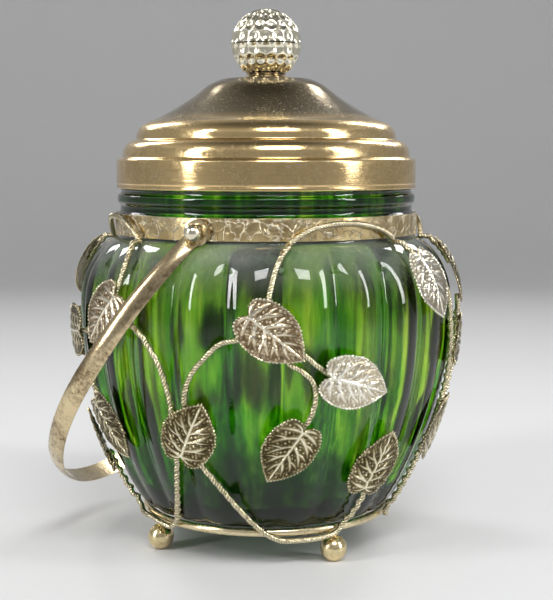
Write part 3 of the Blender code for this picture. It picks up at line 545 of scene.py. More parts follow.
def lathe(name, profile, turns, finish, closed=False, shape=None, layers=None, sharp=38.0):
    """A profile of radius and height turned round Z, with an optional shaping of each point."""
    chain = np.array(profile, float)
    count = len(chain)
    turns = turns[:, None]
    radius = np.broadcast_to(chain[None, :, 0], (len(turns), count))
    height = np.broadcast_to(chain[None, :, 1], (len(turns), count))
    if shape is not None:
        radius, height = shape(turns, radius, height)
    points = polar(radius, turns, height).reshape(-1, 3)
    faces = []
    for i in range(len(turns)):
        j = (i + 1) % len(turns)
        for k in range(count if closed else count - 1):
            m = (k + 1) % count
            faces.append((i * count + k, j * count + k, j * count + m, i * count + m))
    if layers:
        layers = {key: np.broadcast_to(values, (len(turns), count)) for key, values in layers.items()}
    return build(name, points, faces, finish, layers, sharp)


# Glass

# From the rim down to the shoulder: radius, height and the rounding of the corner.
NECK_OUTLINE = (
    (RIM_RADIUS, RIM_TOP - 3.0), (RIM_RADIUS, 126.9, 0.5), (58.3, BEAD_TOP, 0.5), (57.8, 125.2, 0.6),
    (58.1, 124.4, 0.6), (59.3, 123.6, 1.2), (59.3, 121.0, 1.2), (58.2, 119.8, 0.9), (58.2, 117.6, 0.9),
    (NECK_RADIUS, BAND_TOP, 0.5), (NECK_RADIUS, SHOULDER_HEIGHT + 0.2, 0.8),
    (NECK_RADIUS + 1.4, SHOULDER_HEIGHT - 0.4, 0.8),
)


def shoulder_rise(height):
    """How far a height lies up the shoulder, 0 to 1."""
    return np.clip((height - BELLY_HEIGHT) / (SHOULDER_HEIGHT - BELLY_HEIGHT), 0, 1)


def lobe_share(height):
    """Share of the full lobe depth: shallow at the heel, none at the neck."""
    rise = np.clip(height / BELLY_HEIGHT, 0, 1)
    low = HEEL_LOBE_SHARE + (1 - HEEL_LOBE_SHARE) * np.sin(rise * math.pi / 2)
    return np.where(height <= BELLY_HEIGHT, low, 1 - shoulder_rise(height) ** 3)


def crest_radius(height):
    """Radius over the crests of the lobes, from the end of the heel to the neck."""
    start_radius = HEEL_FLAT + HEEL_ROUND * math.sin(HEEL_SWEEP)
    start = HEEL_ROUND * (1 - math.cos(HEEL_SWEEP))
    rise = np.clip((height - start) / (BELLY_HEIGHT - start), 0, 1)
    swell = np.sin(rise ** BELLY_POWER * math.pi / 2)
    hold = (1 - shoulder_rise(height) ** SHOULDER_POWER) ** SHOULDER_SOFTNESS
    belly = start_radius + (BELLY_RADIUS - start_radius) * swell
    shoulder = NECK_RADIUS + (BELLY_RADIUS - NECK_RADIUS) * hold
    return np.where(height < BELLY_HEIGHT, belly, shoulder)


def body_outline(belly_count, shoulder_count, heel_count):
    """Outline of the lobed body over its crests, from the neck down to the underside."""
    outline = []
    for share in np.linspace(0, 1, shoulder_count):
        height = SHOULDER_HEIGHT - (SHOULDER_HEIGHT - BELLY_HEIGHT) * (1 - (1 - share) ** 2)
        outline.append((float(crest_radius(height)), height))
    foot = HEEL_ROUND * (1 - math.cos(HEEL_SWEEP))
    for share in np.linspace(1, 0, belly_count)[1:-1]:
        height = foot + (BELLY_HEIGHT - foot) * share
        outline.append((float(crest_radius(height)), height))
    for angle in np.linspace(HEEL_SWEEP, 0, heel_count):
        outline.append((HEEL_FLAT + HEEL_ROUND * math.sin(angle), HEEL_ROUND * (1 - math.cos(angle))))
    return outline


def lobed(outside, inside):
    """Draws the outside in between the crests, and gives the inside a soft wave.

    Outside and inside say which points of the profile are meant.
    """

    def shape(turns, radius, height):
        turn = (turns - FIRST_GROOVE) * LOBE_COUNT / TAU
        from_crest = 2 * np.abs(turn - np.floor(turn) - 0.5)
        crease = np.sqrt((1 - from_crest) ** 2 + GROOVE_SOFTNESS ** 2) - GROOVE_SOFTNESS
        drawn = LOBE_DEPTH * lobe_share(height) * (1 - crease) ** 2
        wave = -INNER_WAVE * np.cos(turn * TAU) * np.interp(height, (FLOOR, 25, 90, 104), (0, 1, 1, 0))
        pressed = outside & (radius > HEEL_FLAT * 0.8) & (height < SHOULDER_HEIGHT)
        waved = inside & (radius > 20)
        return radius - np.where(pressed, drawn, 0) + np.where(waved, wave, 0), height

    return shape


def inside_line():
    """The inside of the jar, from the middle of its floor up to the rim."""
    wall = [(float(crest_radius(height) - WALL - LOBE_DEPTH * lobe_share(height)), height)
            for height in np.linspace(FLOOR + 6.0, CAVITY_TOP, 40)]
    corner = float(crest_radius(FLOOR)) - WALL - LOBE_DEPTH
    base = rounded([(0, FLOOR + 0.8), (corner * 0.6, FLOOR), (corner, FLOOR), wall[0]], 7.0, 7)
    throat = rounded([wall[-1], (RIM_INNER + 1.5, 107.6), (RIM_INNER, 110.5),
                      (RIM_INNER, RIM_TOP - 1.2)], 3.0, 5)
    return base[:-1] + wall + throat[1:]


def make_jar(inside, outside):
    """The clear lobed body."""
    rim = rounded([(RIM_INNER, RIM_TOP - 1.2), (RIM_INNER, RIM_TOP), (RIM_RADIUS, RIM_TOP),
                   (RIM_RADIUS, RIM_TOP - 3.0)], 1.6, 6)
    top = inside + rim[1:] + rounded(NECK_OUTLINE, 0.5, 5)[1:]
    profile = top + outside + [(HEEL_FLAT * 0.5, 0.0), (0, 0.0)]
    index = np.arange(len(profile))
    is_inside = index < len(inside)
    piece = lathe("jar_glass", profile, circle(LOBE_COUNT * 14), glass_finish(),
                  shape=lobed(index >= len(top), is_inside), layers={"inside": is_inside * 1.0}, sharp=60)
    stands_for(piece, "glass_jar", "caddy")


def make_green_layer(inside, outside):
    """The coloured glass inside the wall, a painted grey shade where the shoulder is."""
    skin = [point for point in offset_chain(outside[::-1], LAYER_SKIN)
            if LAYER_FOOT < point[1] < CAVITY_TOP]
    skin = [(0, LAYER_FOOT), (skin[0][0] - 6, LAYER_FOOT)] + skin
    lobes_end = len(skin) - 5
    skin += rounded([skin[-1], (57.0, 107.6), (56.4, 111.0), (56.0, LAYER_TOP)], 3.0, 5)[1:]
    lining = [point for point in offset_chain(inside, -LAYER_LINING) if point[1] < LAYER_TOP]
    lining[0] = (0, lining[0][1])
    loop = skin + lining[::-1]
    index = np.arange(len(loop))
    pressed = (index >= 2) & (index < lobes_end)
    turns = circle(LOBE_COUNT * 10)
    crest = np.abs(np.sin((turns - FIRST_GROOVE) * LOBE_COUNT / 2))[:, None]
    # A tint of 1 gives the green. The low tint on the shoulder gives the painted grey shade.
    tint = np.interp([height for _, height in loop], (0, 84, 101, 107.5, 110.5), (1, 1, 0.04, 0.1, 1))
    piece = lathe("jar_green_layer", loop, turns, layer_finish(),
                  shape=lobed(pressed, index >= len(skin)), layers={"tint": tint, "crest": crest}, sharp=60)
    stands_for(piece, "glass_jar", "caddy")


def make_glass():
    inside = inside_line()
    outside = body_outline(52, 30, 8)[1:]
    make_jar(inside, outside)
    make_green_layer(inside, outside)


# Lid and knob

# The stepped top of the lid and its lip: radius, height and the rounding of the corner.
LID_STEPS = (
    (SCREW_HOLE, LID_TOP), (17.4, LID_TOP, 1.3), (22.6, 167.1, 3.0), (29.0, 161.9, 7.0), (37.0, 156.9, 6.0),
    (44.2, 153.1, 5.0), (47.4, 152.0, 0.8), (49.8, 150.6, 1.8), (51.4, 148.2, 1.8), (51.8, 145.3, 0.4),
    (53.2, 144.9, 0.8), (55.6, 143.6, 1.6), (57.0, 141.2, 1.6), (57.3, 138.2, 0.5), (58.9, 137.9, 0.8),
    (LID_RADIUS - 0.05, 136.9, 0.8),
)
LID_LIP = (
    (LID_RADIUS - 0.05, 128.3, 0.3), (LID_RADIUS - 0.35, 127.9, 0.3), (LID_RADIUS, 127.4, 0.3),
    (LID_RADIUS, LID_FOOT, 0.4), (LID_RADIUS - 1.0, LID_FOOT, 0.35),
)
COLLAR_OUTLINE = (
    (SCREW_HOLE, COLLAR_TOP), (8.0, COLLAR_TOP), (7.5, COLLAR_TOP - 0.8), (8.5, COLLAR_FOOT + 0.6),
    (8.5, COLLAR_FOOT), (SCREW_HOLE, COLLAR_FOOT),
)


def make_lid():
    inner = offset_chain(LID_STEPS, -LID_SHEET)
    inner[0] = (SCREW_HOLE, LID_TOP - LID_SHEET)
    profile = rounded([*LID_STEPS, *LID_LIP, *inner[::-1]], 0.8, 6, closed=True)
    # The lid's brass is painted dark from its upper steps over the cone to the top: a painted dark
    # reflection. Specks of dust come with it.
    finish = brass("spun_brass", GOLD, (0.44, 0.33, 0.16), 0.11, 0.65, 0.0004, 2400.0, spun=True,
                   aged_and_painted_dark=(151.8, 155.5, 0.85))
    stands_for(lathe("lid_spun", profile, circle(192), finish, closed=True), "lid_shell", "lid")
    collar = rounded(COLLAR_OUTLINE, 0.4, 4, closed=True)
    stands_for(lathe("collar_turned", collar, circle(96), finish, closed=True), "knob_collar", "lid")


def dimpled(turns, radius, height):
    """Presses rows of round dimples into the ball."""
    up = height - KNOB_CENTRE
    far = np.sqrt(radius ** 2 + up ** 2)
    angle = np.degrees(np.arcsin(np.clip(np.abs(up) / np.maximum(far, 1e-9), 0, 1)))
    press = np.zeros_like(radius * turns)
    for row, level in enumerate(DIMPLE_ROWS):
        column = np.degrees(turns) / DIMPLE_STEP + (0.5 if row % 2 else 0.0)
        across = np.abs(column - np.round(column)) / DIMPLE_REACH_SHARE
        along = np.abs(angle - level) / DIMPLE_REACH
        reach = np.clip(across ** 2 + along ** 2, 0, 1)
        press = np.maximum(press, DIMPLE_DEPTH * (1 - reach))
    shrink = 1 - np.where(np.abs(far - KNOB_RADIUS) < 0.05, press, 0) / KNOB_RADIUS
    return radius * shrink, KNOB_CENTRE + up * shrink


def make_knob():
    finish = brass("knob_brass", (0.97, 0.92, 0.73), (0.74, 0.66, 0.44), 0.13, 0.4, 0.0003, 1500.0)
    for side, node in ((1, "knob_upper_half"), (-1, "knob_lower_half")):
        seam = KNOB_CENTRE + side * CLEAR / 2
        chain = [(0.0, seam), (KNOB_RADIUS - 0.35, seam), (KNOB_RADIUS - 0.12, KNOB_CENTRE + side * 0.2)]
        arc = [(KNOB_RADIUS * math.cos(a), KNOB_CENTRE + side * KNOB_RADIUS * math.sin(a))
               for a in np.radians(np.linspace(1.0, 89.0, 60))]
        if side > 0:
            chain += arc + [(0.0, KNOB_CENTRE + KNOB_RADIUS)]
        else:
            chain += [point for point in arc if point[0] > KNOB_SEAT + 0.1]
            chain += [(KNOB_SEAT, KNOB_FOOT), (SCREW_HOLE, KNOB_FOOT)]
            chain += [(SCREW_HOLE, KNOB_FOOT + SCREW_HOLE_DEPTH), (0.0, KNOB_FOOT + SCREW_HOLE_DEPTH)]
        ball = lathe(node + "_ball", chain, circle(180), finish, shape=dimpled, sharp=50)
        stands_for(ball, node, "lid")


def dress_screw():
    """The screw and washer under the lid keep their CAD shape and get a worked steel finish."""
    finish = steel_finish()
    for node in ("knob_screw", "knob_washer"):
        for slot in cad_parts[node].material_slots:
            slot.material = finish.material


# Neck band, pivots and bail

def make_band():
    """The strip round the neck, whose end laps over its start at the front pivot."""
    lap = LAP_HALF_SWEEP
    edge = math.radians(0.12)
    turns = circle(240)
    turns = turns[(turns > lap + 0.01) & (turns < TAU - lap - 0.01)]
    turns = np.concatenate([np.linspace(-lap, lap, 13), [lap + edge], turns, [TAU - lap - edge]])

    def lapped(turn, radius, height):
        over = (np.abs(turn - PIVOT_TURN) <= lap + 1e-6) & (radius > BAND_INNER + 0.1)
        return radius + np.where(over, BAND_SHEET, 0.0), height

    section = rounded([(BAND_INNER, BAND_FOOT, 0.05), (BAND_OUTER, BAND_FOOT), (BAND_OUTER, BAND_TOP),
                       (BAND_INNER, BAND_TOP, 0.05)], 0.16, 3, closed=True)
    piece = lathe("band_crackle", section, turns + PIVOT_TURN, crackle_finish(), closed=True, shape=lapped,
                  sharp=45)
    stands_for(piece, "neck_band", "caddy")


def pivot_frame():
    """The place of the pivots: X runs out along the axis of the bail, Z is up."""
    return Matrix.Translation((0, 0, PIVOT_HEIGHT * MM)) @ Matrix.Rotation(PIVOT_TURN - math.pi / 2, 4, "Z")


def make_pivots():
    """A ball-headed rivet and a washer on each side, turned along the axis and laid into place."""
    ball = brass("pin_brass", (0.90, 0.84, 0.66), (0.50, 0.42, 0.26), 0.12, 0.4)
    plain = brass("washer_brass", (0.62, 0.52, 0.32), (0.30, 0.23, 0.12), 0.3, 0.6)
    foot = EYE_OUTER + CLEAR
    centre = foot + math.sqrt(RIVET_BALL ** 2 - RIVET_SEAT ** 2)
    seat = math.acos(RIVET_SEAT / RIVET_BALL)
    head = [(0.0, centre + RIVET_BALL)]
    head += [(RIVET_BALL * math.cos(a), centre + RIVET_BALL * math.sin(a))
             for a in np.linspace(math.radians(86), -seat, 24)]
    head += [(SHANK_RADIUS, foot), (SHANK_RADIUS, BAND_INNER), (0.0, BAND_INNER)]
    washer = rounded([(EYE_HOLE, WASHER_OUTER), (WASHER_RADIUS, WASHER_OUTER),
                      (WASHER_RADIUS, WASHER_INNER), (EYE_HOLE, WASHER_INNER)], 0.2, 3, closed=True)
    for side, tilt in (("front", 1), ("back", -1)):
        place = pivot_frame() @ Matrix.Rotation(tilt * math.pi / 2, 4, "Y")
        pin = lathe("pin_" + side, head, circle(48), ball)
        ring = lathe("spacer_" + side, washer, circle(40), plain, closed=True)
        for piece, node in ((pin, "pivot_rivet_"), (ring, "pivot_washer_")):
            piece.data.transform(place)
            stands_for(piece, node + side, "caddy")


def bail_line():
    """The middle line of the strip laid flat, from eye to eye, and the length of its arms."""
    spread = BELLY_RADIUS + BAIL_SIDE_GAP
    arm = (PIVOT_HEIGHT - BELLY_HEIGHT) * BAIL_ARM_SHARE
    bend = (PIVOT_HEIGHT - BAIL_REST_HEIGHT) / math.cos(BAIL_LEAN) - arm
    start = EYE_INNER + BAIL_SHEET / 2
    side = [(start, y) for y in (-EYE_RADIUS, -5.0, -4.7, -4.2, -3.5, -2.6, -1.5, 0.0, 1.5)]
    for share in np.linspace(0, 1, 44):
        bow = 1 - (1 - share) ** BAIL_BOW_POWER
        side.append((start + (spread - start) * bow, BAIL_STRAIGHT + (arm - BAIL_STRAIGHT) * share))
    turn = [(spread * math.cos(a), arm + bend * math.sin(a)) for a in np.linspace(0, math.pi, 110)[1:-1]]
    return np.array(side + turn + [(-x, y) for x, y in side[::-1]]), arm


def bail_half_widths(reach, arm):
    """Half widths along the strip: a round eye that runs into a slowly widening arm."""
    strip = BAIL_NECK_HALF + BAIL_HALF_GROWTH * np.clip(reach / arm, 0, 1)
    eye = np.sqrt(np.clip(EYE_RADIUS ** 2 - reach ** 2, 0.004, None))
    blend = np.clip((reach - 2.0) / 6.0, 0, 1)
    blend = blend * blend * (3 - 2 * blend)
    width = np.where(reach < 5.0, eye * (1 - blend) + strip * blend, strip)
    return np.where(reach > 1.0, np.maximum(width, BAIL_NECK_HALF), width)


def drilled(piece, finish):
    """The strip with the holes of its eyes, its many-sided faces cut up and cleaned."""
    bore = [(0, -90), (EYE_HOLE, -90), (EYE_HOLE, 90), (0, 90)]
    drill = lathe("drill", bore, circle(24), finish)
    drill.data.transform(Matrix.Rotation(math.pi / 2, 4, "Y"))
    cut = piece.modifiers.new("drilled", "BOOLEAN")
    cut.operation = "DIFFERENCE"
    cut.solver = "EXACT"
    cut.object = drill
    bpy.context.view_layer.update()
    mesh = bpy.data.meshes.new_from_object(piece.evaluated_get(bpy.context.evaluated_depsgraph_get()))
    piece.modifiers.clear()
    piece.data = mesh
    bpy.data.objects.remove(drill)
    form = bmesh.new()
    form.from_mesh(mesh)
    for _ in range(2):
        bmesh.ops.triangulate(form, faces=[face for face in form.faces if len(face.verts) > 4])
        bmesh.ops.dissolve_degenerate(form, edges=form.edges, dist=0.0001 * MM)
    form.to_mesh(mesh)
    form.free()
    return mesh


def make_handle():
    """The bail: a domed strip whose ends are round eyes."""
    path, arm = bail_line()
    along = unit(np.gradient(path, axis=0))
    out = np.stack([along[:, 1], -along[:, 0]], 1)
    reach = path[:, 1]
    across = np.concatenate([np.linspace(-1, 1, 21), np.linspace(1, -1, 9)])
    count = len(across)
    off_middle = np.abs(across)
    dome = np.clip((reach - BAIL_STRAIGHT) / BAIL_DOME_RUN, 0, 1)[:, None]
    # The front falls away to both edges, with a fine line beside each. The back is flat.
    fall = 0.82 * off_middle ** 2.1 + 0.08 * np.exp(-((off_middle - 0.84) / 0.05) ** 2)
    crown = 0.5 - dome * fall - np.where(off_middle > 0.97, 0.08, 0.0)
    lift = np.where(np.arange(count) < 21, crown, -BAIL_SHEET / 2)
    flat = path[:, None, :] + out[:, None, :] * lift[..., None]
    points = np.dstack([flat, across * bail_half_widths(reach, arm)[:, None]])
    faces = ring_faces(len(path), count) + end_faces(len(path), count)
    # The bail's dark worn patches are partly wear and partly a painted dark reflection.
    finish = brass("bail_brass", (0.73, 0.60, 0.37), (0.22, 0.155, 0.085), 0.12, 1.0, 0.0004, 1200.0)
    piece = build("bail_strip", points.reshape(-1, 3), faces, finish)
    mesh = drilled(piece, finish)
    mesh.transform(pivot_frame() @ Matrix.Rotation(-math.pi / 2 - BAIL_LEAN, 4, "X"))
    mesh.set_sharp_from_angle(angle=math.radians(38))
    stands_for(piece, "handle", "bail")


# Base ring and feet

def make_base():
    finish = brass("ring_brass", (0.84, 0.72, 0.46), (0.40, 0.31, 0.18), 0.17, 0.6, 0.0004, 1200.0)
    section = [(RING_RADIUS + RING_WIRE * math.cos(a), RING_HEIGHT + RING_WIRE * math.sin(a))
               for a in circle(20)]
    stands_for(lathe("ring_wire", section, circle(160), finish, closed=True), "base_ring", "caddy")
    ball = brass("foot_brass", (0.86, 0.72, 0.42), (0.42, 0.33, 0.18), 0.13, 0.5)
    top = math.acos(FOOT_NECK / FOOT_RADIUS)
    sole = math.acos(FOOT_FLAT / FOOT_RADIUS)
    chain = [(0, FOOT_TOP), (2.0, FOOT_TOP), (1.7, FOOT_TOP - 0.5), (FOOT_NECK, FOOT_TOP - 0.9)]
    chain += [(FOOT_RADIUS * math.cos(a), max(FOOT_SOLE, FOOT_CENTRE + FOOT_RADIUS * math.sin(a)))
              for a in np.linspace(top, -sole, 30)]
    chain += [(0, FOOT_SOLE)]
    for index in range(FOOT_COUNT):
        turn = FOOT_FIRST_TURN + TAU * index / FOOT_COUNT
        foot = lathe("ball_foot_%d" % (index + 1), chain, circle(48), ball)
        foot.data.transform(Matrix.Translation(Vector(polar(RING_RADIUS * MM, turn, 0))))
        stands_for(foot, "foot_%d" % (index + 1), "caddy")


# Vine frame

# Each wire of a spray as a route of points: degrees round from the pivot, share of the
# shoulder height.
WIRES = {
    "arch": (
        (23, 0.750), (24, 0.831), (25, 0.884), (26.5, 0.938), (29, 0.982), (34, 1.026), (39, 1.053),
        (46, 1.067), (55, 1.068), (65, 1.048), (72, 1.012), (75, 0.965), (76, 0.900),
    ),
    "arch_left": (
        (-24, 0.780), (-22.5, 0.840), (-22, 0.899), (-23, 0.955), (-26, 1.002), (-31, 1.044),
        (-38, 1.074), (-45, 1.082), (-53, 1.077), (-61, 1.057), (-68, 1.020), (-72, 0.970), (-73, 0.900),
    ),
    "link": (
        (19, 0.708), (15, 0.700), (11, 0.686), (7, 0.641), (3, 0.584), (0.5, 0.517), (0, 0.452),
        (0.2, 0.405), (-0.9, 0.370), (-2.6, 0.358), (-4.3, 0.370), (-4.9, 0.405), (-4.4, 0.452),
        (-5, 0.522), (-7.5, 0.616), (-12, 0.693), (-16, 0.729), (-20, 0.748), (-24, 0.762),
    ),
    "hook": (
        (62, 0.220), (61, 0.133), (59, 0.045), (55, -0.015), (48, -0.038), (40, -0.045),
        (31, -0.042), (25, -0.020), (20, 0.012), (14, 0.084), (9, 0.158), (3, 0.252), (1.2, 0.286),
        (-0.6, 0.306), (-3, 0.308), (-5, 0.286), (-6, 0.252), (-9, 0.152), (-12, 0.080),
        (-16, 0.020), (-21, -0.022), (-28, -0.020), (-36, -0.014), (-44, -0.018), (-50, -0.002),
        (-54, 0.050), (-57, 0.130), (-58, 0.200),
    ),
    "sprig": (
        (45, 0.560), (40, 0.587), (36, 0.624), (32.5, 0.658), (29.6, 0.650), (29.6, 0.622),
        (33, 0.596), (36, 0.559), (37, 0.504), (36, 0.444), (34, 0.395), (32.5, 0.340),
    ),
    "sprig_left": (
        (-46, 0.675), (-40, 0.682), (-36, 0.690), (-32.3, 0.703), (-29.4, 0.697), (-29.6, 0.668),
        (-32.5, 0.635), (-36.5, 0.575), (-39, 0.501), (-38.5, 0.447), (-36.5, 0.386),
    ),
    "drop": (
        (81, 0.862), (85, 0.864), (88, 0.825), (89.5, 0.759), (91, 0.694), (93, 0.618),
        (94.5, 0.535), (95, 0.466), (94.4, 0.415), (94.4, 0.372), (95.6, 0.349), (97.2, 0.351),
        (98.4, 0.375), (99.5, 0.430), (101.5, 0.500), (103.5, 0.580), (104.5, 0.660), (104, 0.730),
        (103, 0.790),
    ),
    "edge_stem": ((90.5, 0.300), (89.5, 0.250), (89.3, 0.205), (88.7, 0.130), (88, 0.060), (87.5, -0.020)),
}
# Each leaf of a spray: degrees round from the pivot and share of the shoulder height, both at
# the cleft, and the way its tip points, in degrees from level right.
LEAVES = {
    "crown": (18.8, 0.786, -40.0),
    "arch_end": (75.0, 0.955, -73.0),
    "bright": (40.0, 0.577, -17.5),
    "hanging": (34.0, 0.397, -121.0),
    "middle": (-3.0, 0.282, 65.0),
    "rising": (58.0, 0.150, 77.0),
    "crown_left": (-21.5, 0.829, -132.0),
    "arch_end_left": (-72.0, 0.975, -109.0),
    "side_left": (-41.5, 0.680, -175.0),
    "hanging_left": (-37.0, 0.433, -57.0),
    "rising_left": (-56.0, 0.144, 102.0),
    "edge_lower": (89.0, 0.232, 61.0),
    "edge_upper": (111.0, 0.647, -163.0),
}
# One half of a leaf's outline from the cleft to the tip, and the place that its rows close on.
LEAF_HALF = (
    (0, 0), (-1.9, 1.5), (-2.8, 4.0), (-2.2, 6.4), (0.4, 8.6), (3.6, 10.0), (7.6, 10.65),
    (11.6, 10.6), (16.8, 8.95), (22.0, 4.9), (24.6, 2.3), (26.5, 0),
)
LEAF_CENTRE = (8.0, 0.0)
LEAF_STEP = 0.48  # distance between the points of a leaf's edge
# Raised veins on one half of a leaf: start, bend and end from the cleft, and half width.
VEINS = (
    (0.6, 0.4, -1.4, 2.4, -0.7, 5.4, 0.50), (1.0, 0.4, 1.2, 4.2, 3.4, 8.0, 0.60),
    (3.2, 0.3, 4.6, 4.2, 9.0, 7.6, 0.66), (7.2, 0.3, 9.0, 3.6, 13.8, 6.6, 0.62),
    (11.4, 0.3, 13.2, 2.8, 17.6, 5.0, 0.55), (15.4, 0.2, 17.0, 1.9, 20.8, 3.0, 0.48),
    (4.9, 3.4, 4.7, 5.4, 6.2, 8.2, 0.42), (9.3, 3.1, 9.2, 5.0, 10.8, 7.9, 0.42),
    (13.4, 2.4, 13.5, 4.0, 15.0, 6.4, 0.38),
)


def seat_line(glass_gap, metal_gap):
    """Heights, radii and lengths along the line that clears the glass, band and ring."""
    blocks = [(radius, height, glass_gap) for radius, height in body_outline(24, 24, 24)]
    blocks += [(BAND_OUTER, height, metal_gap) for height in np.linspace(BAND_FOOT, BAND_TOP, 24)]
    blocks.append((RING_RADIUS, RING_HEIGHT, RING_WIRE + metal_gap))
    heights = np.arange(-8.0, 121.0, 0.1)
    radii = np.full(len(heights), RING_RADIUS)
    for radius, level, distance in blocks:
        offset = np.abs(heights - level)
        near = offset < distance
        radii[near] = np.maximum(radii[near], radius + np.sqrt(distance ** 2 - offset[near] ** 2))
    return heights, radii, distances(np.stack([radii, heights], 1))


WIRE_LINE = seat_line(WIRE_RADIUS + WIRE_LIFT, WIRE_RADIUS + SOLDER)
LEAF_LINE = seat_line(WIRE_LIFT + LEAF_MIDDLE, SOLDER + LEAF_MIDDLE)


def rope(name, track, finish):
    """A wire of three strands twisted together, along a track round the jar."""
    points, places = even(track, ROPE_STEP)
    along = unit(np.gradient(points, axis=0))
    outward = points * (1, 1, 0)
    outward = unit(outward - (outward * along).sum(1)[:, None] * along)
    sideways = np.cross(along, outward)
    angles = circle(ROPE_SIDES)
    sizes = ROPE_RADIUS * (1 + 0.09 * np.cos(ROPE_STRANDS * angles))
    turn = (angles[None, :] + places[:, None] / ROPE_PITCH * TAU)[..., None]
    ring = np.cos(turn) * outward[:, None, :] + np.sin(turn) * sideways[:, None, :]
    ring = points[:, None, :] + sizes[None, :, None] * ring
    rows = len(points)
    faces = ring_faces(rows, ROPE_SIDES) + end_faces(rows, ROPE_SIDES)
    strand = np.tile(0.5 + 0.5 * np.cos(ROPE_STRANDS * angles), rows)
    return build(name, ring.reshape(-1, 3), faces, finish, {"relief": strand}, sharp=70)


def leaf_relief(x, y):
    """Height of the raised veins and beads of a leaf, 0 to 1."""
    reach = np.abs(y)
    rise = np.exp(-(reach / (0.72 - 0.014 * np.clip(x, 0, 26))) ** 2)
    rise = rise * np.clip((26.0 - x) / 3, 0, 1) * np.clip((x + 0.8) / 1.5, 0, 1)
    near = reach
    for side in (1, -1):
        for start_x, start_y, bend_x, bend_y, end_x, end_y, width in VEINS:
            shift = 0.7 if side < 0 and start_x > 2 else 0.0
            for t in np.linspace(0, 1, 26):
                early, middle, late = (1 - t) ** 2, 2 * t * (1 - t), t * t
                vein_x = start_x * early + bend_x * middle + end_x * late + shift
                vein_y = side * (start_y * early + bend_y * middle + end_y * late)
                far = np.hypot(x - vein_x, y - vein_y)
                here = width * (0.45 + 0.55 * math.sin(math.pi * min(1.0, 0.25 + 0.75 * t)))
                rise = np.maximum(rise, 0.92 * np.exp(-(far / here) ** 2) * (1 - 0.5 * t ** 3))
                near = np.minimum(near, far)
    between = np.interp(near, (0.7, 1.1), (0, 1))
    for row, bead_x in enumerate(np.arange(-2.2, 25.0, 1.42)):
        for step in range(-7, 8):
            wobble = math.sin(bead_x * 12.9 + step * 78.2) * 0.22
            bead_y = (step + 0.5 * ((row + 1) % 2)) * 1.62 + wobble
            far = np.hypot(x - bead_x - wobble, y - bead_y)
            rise = np.maximum(rise, 0.80 * np.exp(-(far / 0.46) ** 2) * between)
    return rise


def leaf_form():
    """The pressed leaf laid flat: places from the cleft, lift off its middle, relief and faces.

    Its front is rows of points from the centre out to the scalloped edge. Its back has fewer.
    """
    half = smooth_route(LEAF_HALF, 16)
    other = half[::-1][1:-1] * (1, -1)
    loop = even(np.concatenate([half, other, half[:1]]), LEAF_STEP)[0][:-1]
    count = len(loop)
    away = loop - LEAF_CENTRE
    shares = np.concatenate([[0.0], np.linspace(0.04, 0.86, 22), [0.895, 0.925, 0.95, 0.975, 1.0]])
    rows = len(shares)
    bead = 0.5 - 0.5 * np.cos(circle(count) * round(count / 3))
    push = np.interp(shares, (0.90, 0.95, 1.0), (0.0, 0.45, 1.05))
    front = LEAF_CENTRE + shares[:, None, None] * away
    front = front - push[:, None, None] * (1 - bead)[:, None] * unit(away)
    x, y = front[..., 0], front[..., 1]
    widest = np.interp(x, (-3, 0, 3, 10, 17, 22, 26.5), (6, 8.6, 10, 10.8, 9, 5, 0.5))
    side = np.clip(np.abs(y) / widest, 0, 1)
    rim = np.interp(shares, (0, 0.88, 0.92, 0.95, 0.98, 1.0), (0, 0, 0.4, 0.95, 0.8, 0.3))[:, None]
    inner = np.interp(shares, (0, 0.89, 0.94, 1), (1, 1, 0.25, 0))[:, None]
    relief = np.maximum(leaf_relief(x, y) * inner, rim * (0.35 + 0.65 * bead)[None, :])
    cushion = 0.40 * (1 - side) * np.clip(widest / 10.7, 0, 1) + 0.20 * np.sin(side * math.pi)
    front_lift = -0.25 + cushion * 0.76 + 0.51 * relief
    back_lift = -0.42 + 0.30 * (1 - side)
    back_rows = [0, 8, 15, 22, 25, 27]
    plane = np.concatenate([front.reshape(-1, 2), front[back_rows].reshape(-1, 2)])
    lift = np.concatenate([front_lift.reshape(-1), back_lift[back_rows].reshape(-1)])
    value = np.concatenate([relief.reshape(-1), np.full(len(back_rows) * count, 0.35)])
    base = rows * count
    faces = [(a, d, c, b) for a, b, c, d in ring_faces(rows, count)]
    faces += ring_faces(len(back_rows), count, base)
    last = (rows - 1) * count
    far = base + (len(back_rows) - 1) * count
    faces += [(last + i, last + (i + 1) % count, far + (i + 1) % count, far + i) for i in range(count)]
    return plane, lift, value, faces


def make_leaf(name, place, spray_turn, finish, form):
    """A leaf bent over the jar, its rows laid off along the seat line."""
    degrees, height_share, pointing = place
    plane, lift, value, faces = form
    heights, radii, lengths = LEAF_LINE
    turn = PIVOT_TURN + spray_turn + math.radians(degrees)
    foot = height_share * SHOULDER_HEIGHT
    way_x = math.cos(math.radians(pointing))
    way_y = math.sin(math.radians(pointing))
    flat_x = plane[:, 0] * way_x - plane[:, 1] * way_y
    flat_y = plane[:, 0] * way_y + plane[:, 1] * way_x
    height = np.interp(np.interp(foot, heights, lengths) + flat_y, lengths, heights)
    radius = np.interp(height, heights, radii)
    slope = (np.interp(height + 0.6, heights, radii) - np.interp(height - 0.6, heights, radii)) / 1.2
    tilt = 1 / np.sqrt(1 + slope ** 2)
    angle = turn + flat_x / np.interp(foot, heights, radii)
    points = polar(radius + lift * tilt, angle, height - lift * slope * tilt)
    return build(name, points, faces, finish, {"relief": value}, sharp=60)


